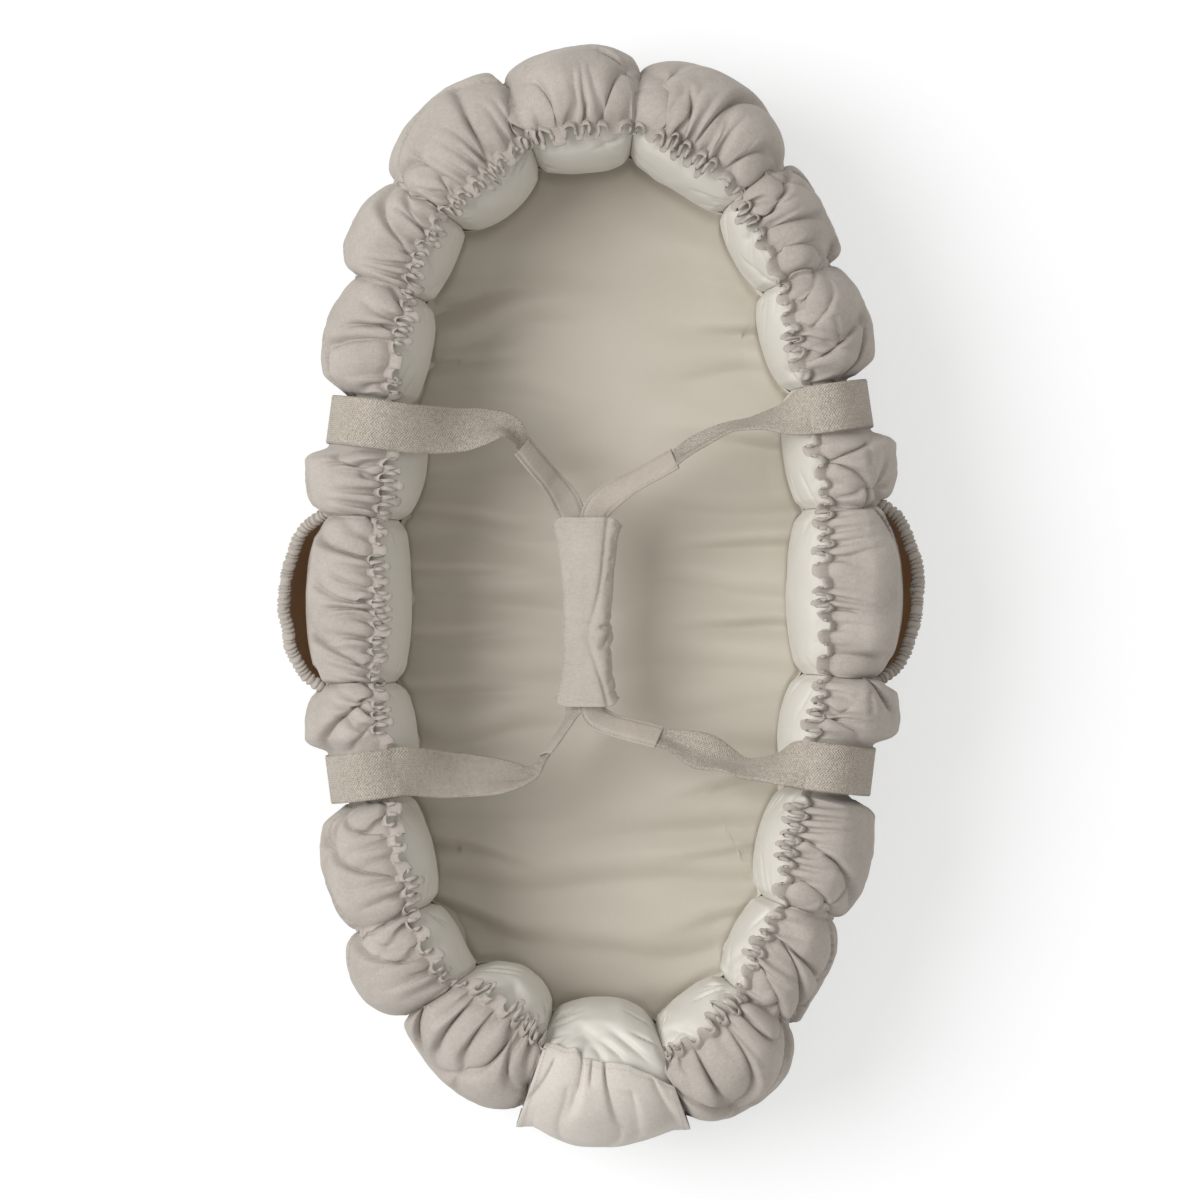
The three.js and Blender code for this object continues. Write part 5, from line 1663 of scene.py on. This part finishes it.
def make_base_strap(end):
    """The band under the base that joins a pair of the runs."""
    ends = [strap_course(f"{end}_{side}", np.array([-FOOT_ANGLE]))[0] for side in ("left", "right")]
    for place in ends:
        place[2] = WEBBING / 2
    t = np.linspace(0, 1, 60)
    points = mix(ends[0], ends[1], t[:, None])
    across = mix(strap_beside(f"{end}_left"), strap_beside(f"{end}_right", -1.0), t[:, None])
    up = np.broadcast_to([0, 0, 1.0], across.shape)
    half, flat = np.full(60, WEBBING_WIDTH / 2), np.zeros(60)
    piece, _ = band(f"webbing_base_{end}", points, across, up, half, flat, WEBBING, WEBBING_FINISH)
    dress(piece, "nest", "webbing", f"base_strap_{end}")
    np.linalg.norm(ends[1] - ends[0])


def make_handle(side, seed):
    """A linen sleeve, stitched along both edges, over folded webbing."""
    points = handle_points(side)
    t = np.linspace(0, 1, len(points))
    head, foot = (HANDLE_SEAMS[f"{end}_{side}"][3] * DEGREE for end in ("head", "foot"))
    roll = head * smooth(0.26, 0.12, t) + foot * smooth(0.74, 0.88, t)
    across, up = ribbon_frame(points, roll)
    rings = sleeve_rings(points, across, up, Wander(seed))
    sleeve = loft(f"handle_{side}_linen", rings, SLEEVE_FINISH, closed=True)
    dress(sleeve, "grip", "cover_linen", f"handle_{side}_sleeve")
    inside = slice(8, -8)
    half, flat = np.full(len(points[inside]), SLEEVED_HALF), np.zeros(len(points[inside]))
    core, _ = band(
        f"handle_{side}_webbing", points[inside], across[inside], up[inside], half, flat, SLEEVED_WEBBING,
        WEBBING_FINISH, 7,
    )
    dress(core, "grip", "webbing", f"handle_{side}_core")
    lines = []
    for edge in (-0.84, 0.84):
        for face in (-1, 1):
            line = points + across * (HANDLE_HALF * edge) + up * face * 1.2 * MM
            lines.append(line[3:-3])
    place = np.linspace(-0.8, 0.8, 20)[:, None]
    rise = 2.25 * MM * (1 - np.abs(place) ** 3)
    for k in (4, HANDLE_POINTS - 5):
        lines.append(points[k] + across[k] * place * HANDLE_HALF + up[k] * rise)
    sew(f"handle_{side}_stitching", lines, "grip")


def sleeve_rings(points, across, up, wander):
    """The sleeve's outer and inner walls, flat with sewn edges, as rings round a closed tube."""
    t = np.linspace(0, 1, len(points))
    angle = np.linspace(0, 2 * math.pi, 40, endpoint=False)[None, :]
    cosine, sine = np.cos(angle), np.sin(angle)
    side_way = np.sign(cosine) * np.abs(cosine) ** 0.75
    groove = np.exp(-(((np.abs(side_way) - 0.8) / 0.08) ** 2))
    crinkle = wander(t[:, None] * 34, sine * 1.5 + 4) * 0.35 * MM
    thick = SLEEVE_THICKNESS / 2 * np.sign(sine) * np.abs(sine) ** 0.8 * (1 - 0.6 * groove) + crinkle * sine
    half = HANDLE_HALF * (1 + 0.02 * wander(t * 24 + 9))[:, None]
    walls = [
        points[:, None]
        + across[:, None] * ((half - inset) * side_way)[..., None]
        + up[:, None] * (thick * (1 - inset / (SLEEVE_THICKNESS / 2)))[..., None]
        for inset in (0.0, SLEEVE_WALL)
    ]
    return np.concatenate([walls[0], walls[1][::-1]]).transpose(1, 0, 2)


# Grip wrap


GRIP_POWER = 2.6

# Angles round the grip between which each cloth lies, in degrees
WRAP_ANGLES = (176, 398)
GRIP_FLAP_ANGLES = (168, -8)
TAPE_ANGLES = (-4, 36)

# Tapes: name, inner and outer level over the grip's oval in millimetres, and body
TAPES = (("loop", 1.9, 2.9, "grip"), ("hook", 3.2, 4.2, "wrap_flap"))


def grip_place(t, angle, ease):
    """Points round the grip's oval, at t along it."""
    power = 2 / GRIP_POWER
    cosine, sine = np.cos(angle), np.sin(angle)
    x = GRIP_X + (grip_half(t) + ease) * np.sign(cosine) * np.abs(cosine) ** power
    z = GRIP_Z + (GRIP_DEPTH + ease) * np.sign(sine) * np.abs(sine) ** power
    corner = 8 * MM * (2 * t - 1) ** 15 * np.abs(cosine) ** 7
    return np.stack(np.broadcast_arrays(x, GRIP_Y + GRIP_LENGTH * (t - 0.5) - corner, z), axis=-1)


def grip_wrinkles(t, angle, seed):
    """Wrinkles across the grip, deepest at its waist."""
    wander = Wander(seed)
    across = wander(t * 17 + 0.5 * np.cos(angle), angle * 0.9 + 3)
    fine = wander(t * 46 + 2, angle * 3.5 + 9)
    waist = np.exp(-(((t - WAIST_SHARE) / 0.2) ** 2))
    return 1.2 * MM * np.abs(across) ** 0.8 * (0.35 + 0.9 * waist) + 0.3 * MM * fine


def make_grip():
    """The wrap round both handles, its flap and the tapes that hold it."""
    t = np.linspace(0, 1, 150)[:, None]
    angle = np.linspace(*WRAP_ANGLES, 120)[None, :] * DEGREE
    wrinkle = grip_wrinkles(t, angle, 301) * (1 - smooth(336 * DEGREE, 350 * DEGREE, angle))
    outer = grip_place(t, angle, wrinkle + LINEN)
    wrap = skin("grip_linen_wrap", outer, grip_place(t, angle, wrinkle), GRIP_FINISH)
    dress(wrap, "grip", "cover_linen", "grip_wrap")
    make_grip_flap(t)
    make_tapes()


def make_grip_flap(t):
    """The flap that turns over the grip, puckered behind its turned edge."""
    angle = np.linspace(*GRIP_FLAP_ANGLES, 130)[None, :] * DEGREE
    lift = 5.2 * MM * (1 - smooth(60 * DEGREE, 120 * DEGREE, angle))
    wander = Wander(311)
    waist = 0.35 + 0.85 * np.exp(-(((t - WAIST_SHARE) / 0.22) ** 2))
    turn = (42 + 30 * waist + 6 * wander(t * 5)) * DEGREE
    turned = smooth(0, 26 * DEGREE, turn - angle)
    pucker = turned * waist * 2.8 * MM * np.abs(wander(t * 17 + 0.4 * angle, angle * 1.1)) ** 0.75
    groove = 1.4 * MM * np.exp(-(((angle - turn) / (7 * DEGREE)) ** 2)) + 1.2 * MM * turned * waist
    ease = lift + grip_wrinkles(t, angle, 302) + pucker - groove
    angle = angle + 0.05 * wander(t * 15 + 7) * smooth(40 * DEGREE, -8 * DEGREE, angle)
    outer = grip_place(t, angle, ease + LINEN)
    flap = skin("grip_linen_flap", outer, grip_place(t, angle, ease), GRIP_FINISH)
    dress(flap, "wrap_flap", "cover_linen", "grip_flap")
    rows = [outer[4, 4:-6], outer[-5, 4:-6], outer[6:-6, -26], outer[6:-6, 8]]
    sew("grip_flap_stitching", [row + [0, 0, 0.1 * MM] for row in rows], "wrap_flap")


def make_tapes():
    """The hook tape under the flap and the loop tape on the wrap, each between two levels."""
    angle = np.linspace(*TAPE_ANGLES, 24)[None, :] * DEGREE
    t = np.linspace(0.06, 0.94, 90)[:, None]
    fuzz = 0.15 * MM * Wander(320)(t * 90, angle * 40)
    for name, low, high, body in TAPES:
        outer = grip_place(t, angle, high * MM + fuzz)
        tape = skin(f"grip_{name}_strip", outer, grip_place(t, angle, low * MM), HOOK_FINISH)
        dress(tape, body, "hook_loop", f"grip_{name}_tape")


add_camera()
add_light()
add_floor()
for number in range(len(CHAMBER_NAMES)):
    make_chamber(number)
make_cover()
make_seam_marks()
make_foot_flap()
make_elastic_band()
make_floor_pad()
make_flat_layers()
make_pocket("left", 51)
make_pocket("right", 57)
for arm_name in HANDLE_SEAMS:
    make_webbing(arm_name)
for end_name in ("head", "foot"):
    make_base_strap(end_name)
make_handle("left", 71)
make_handle("right", 73)
make_grip()
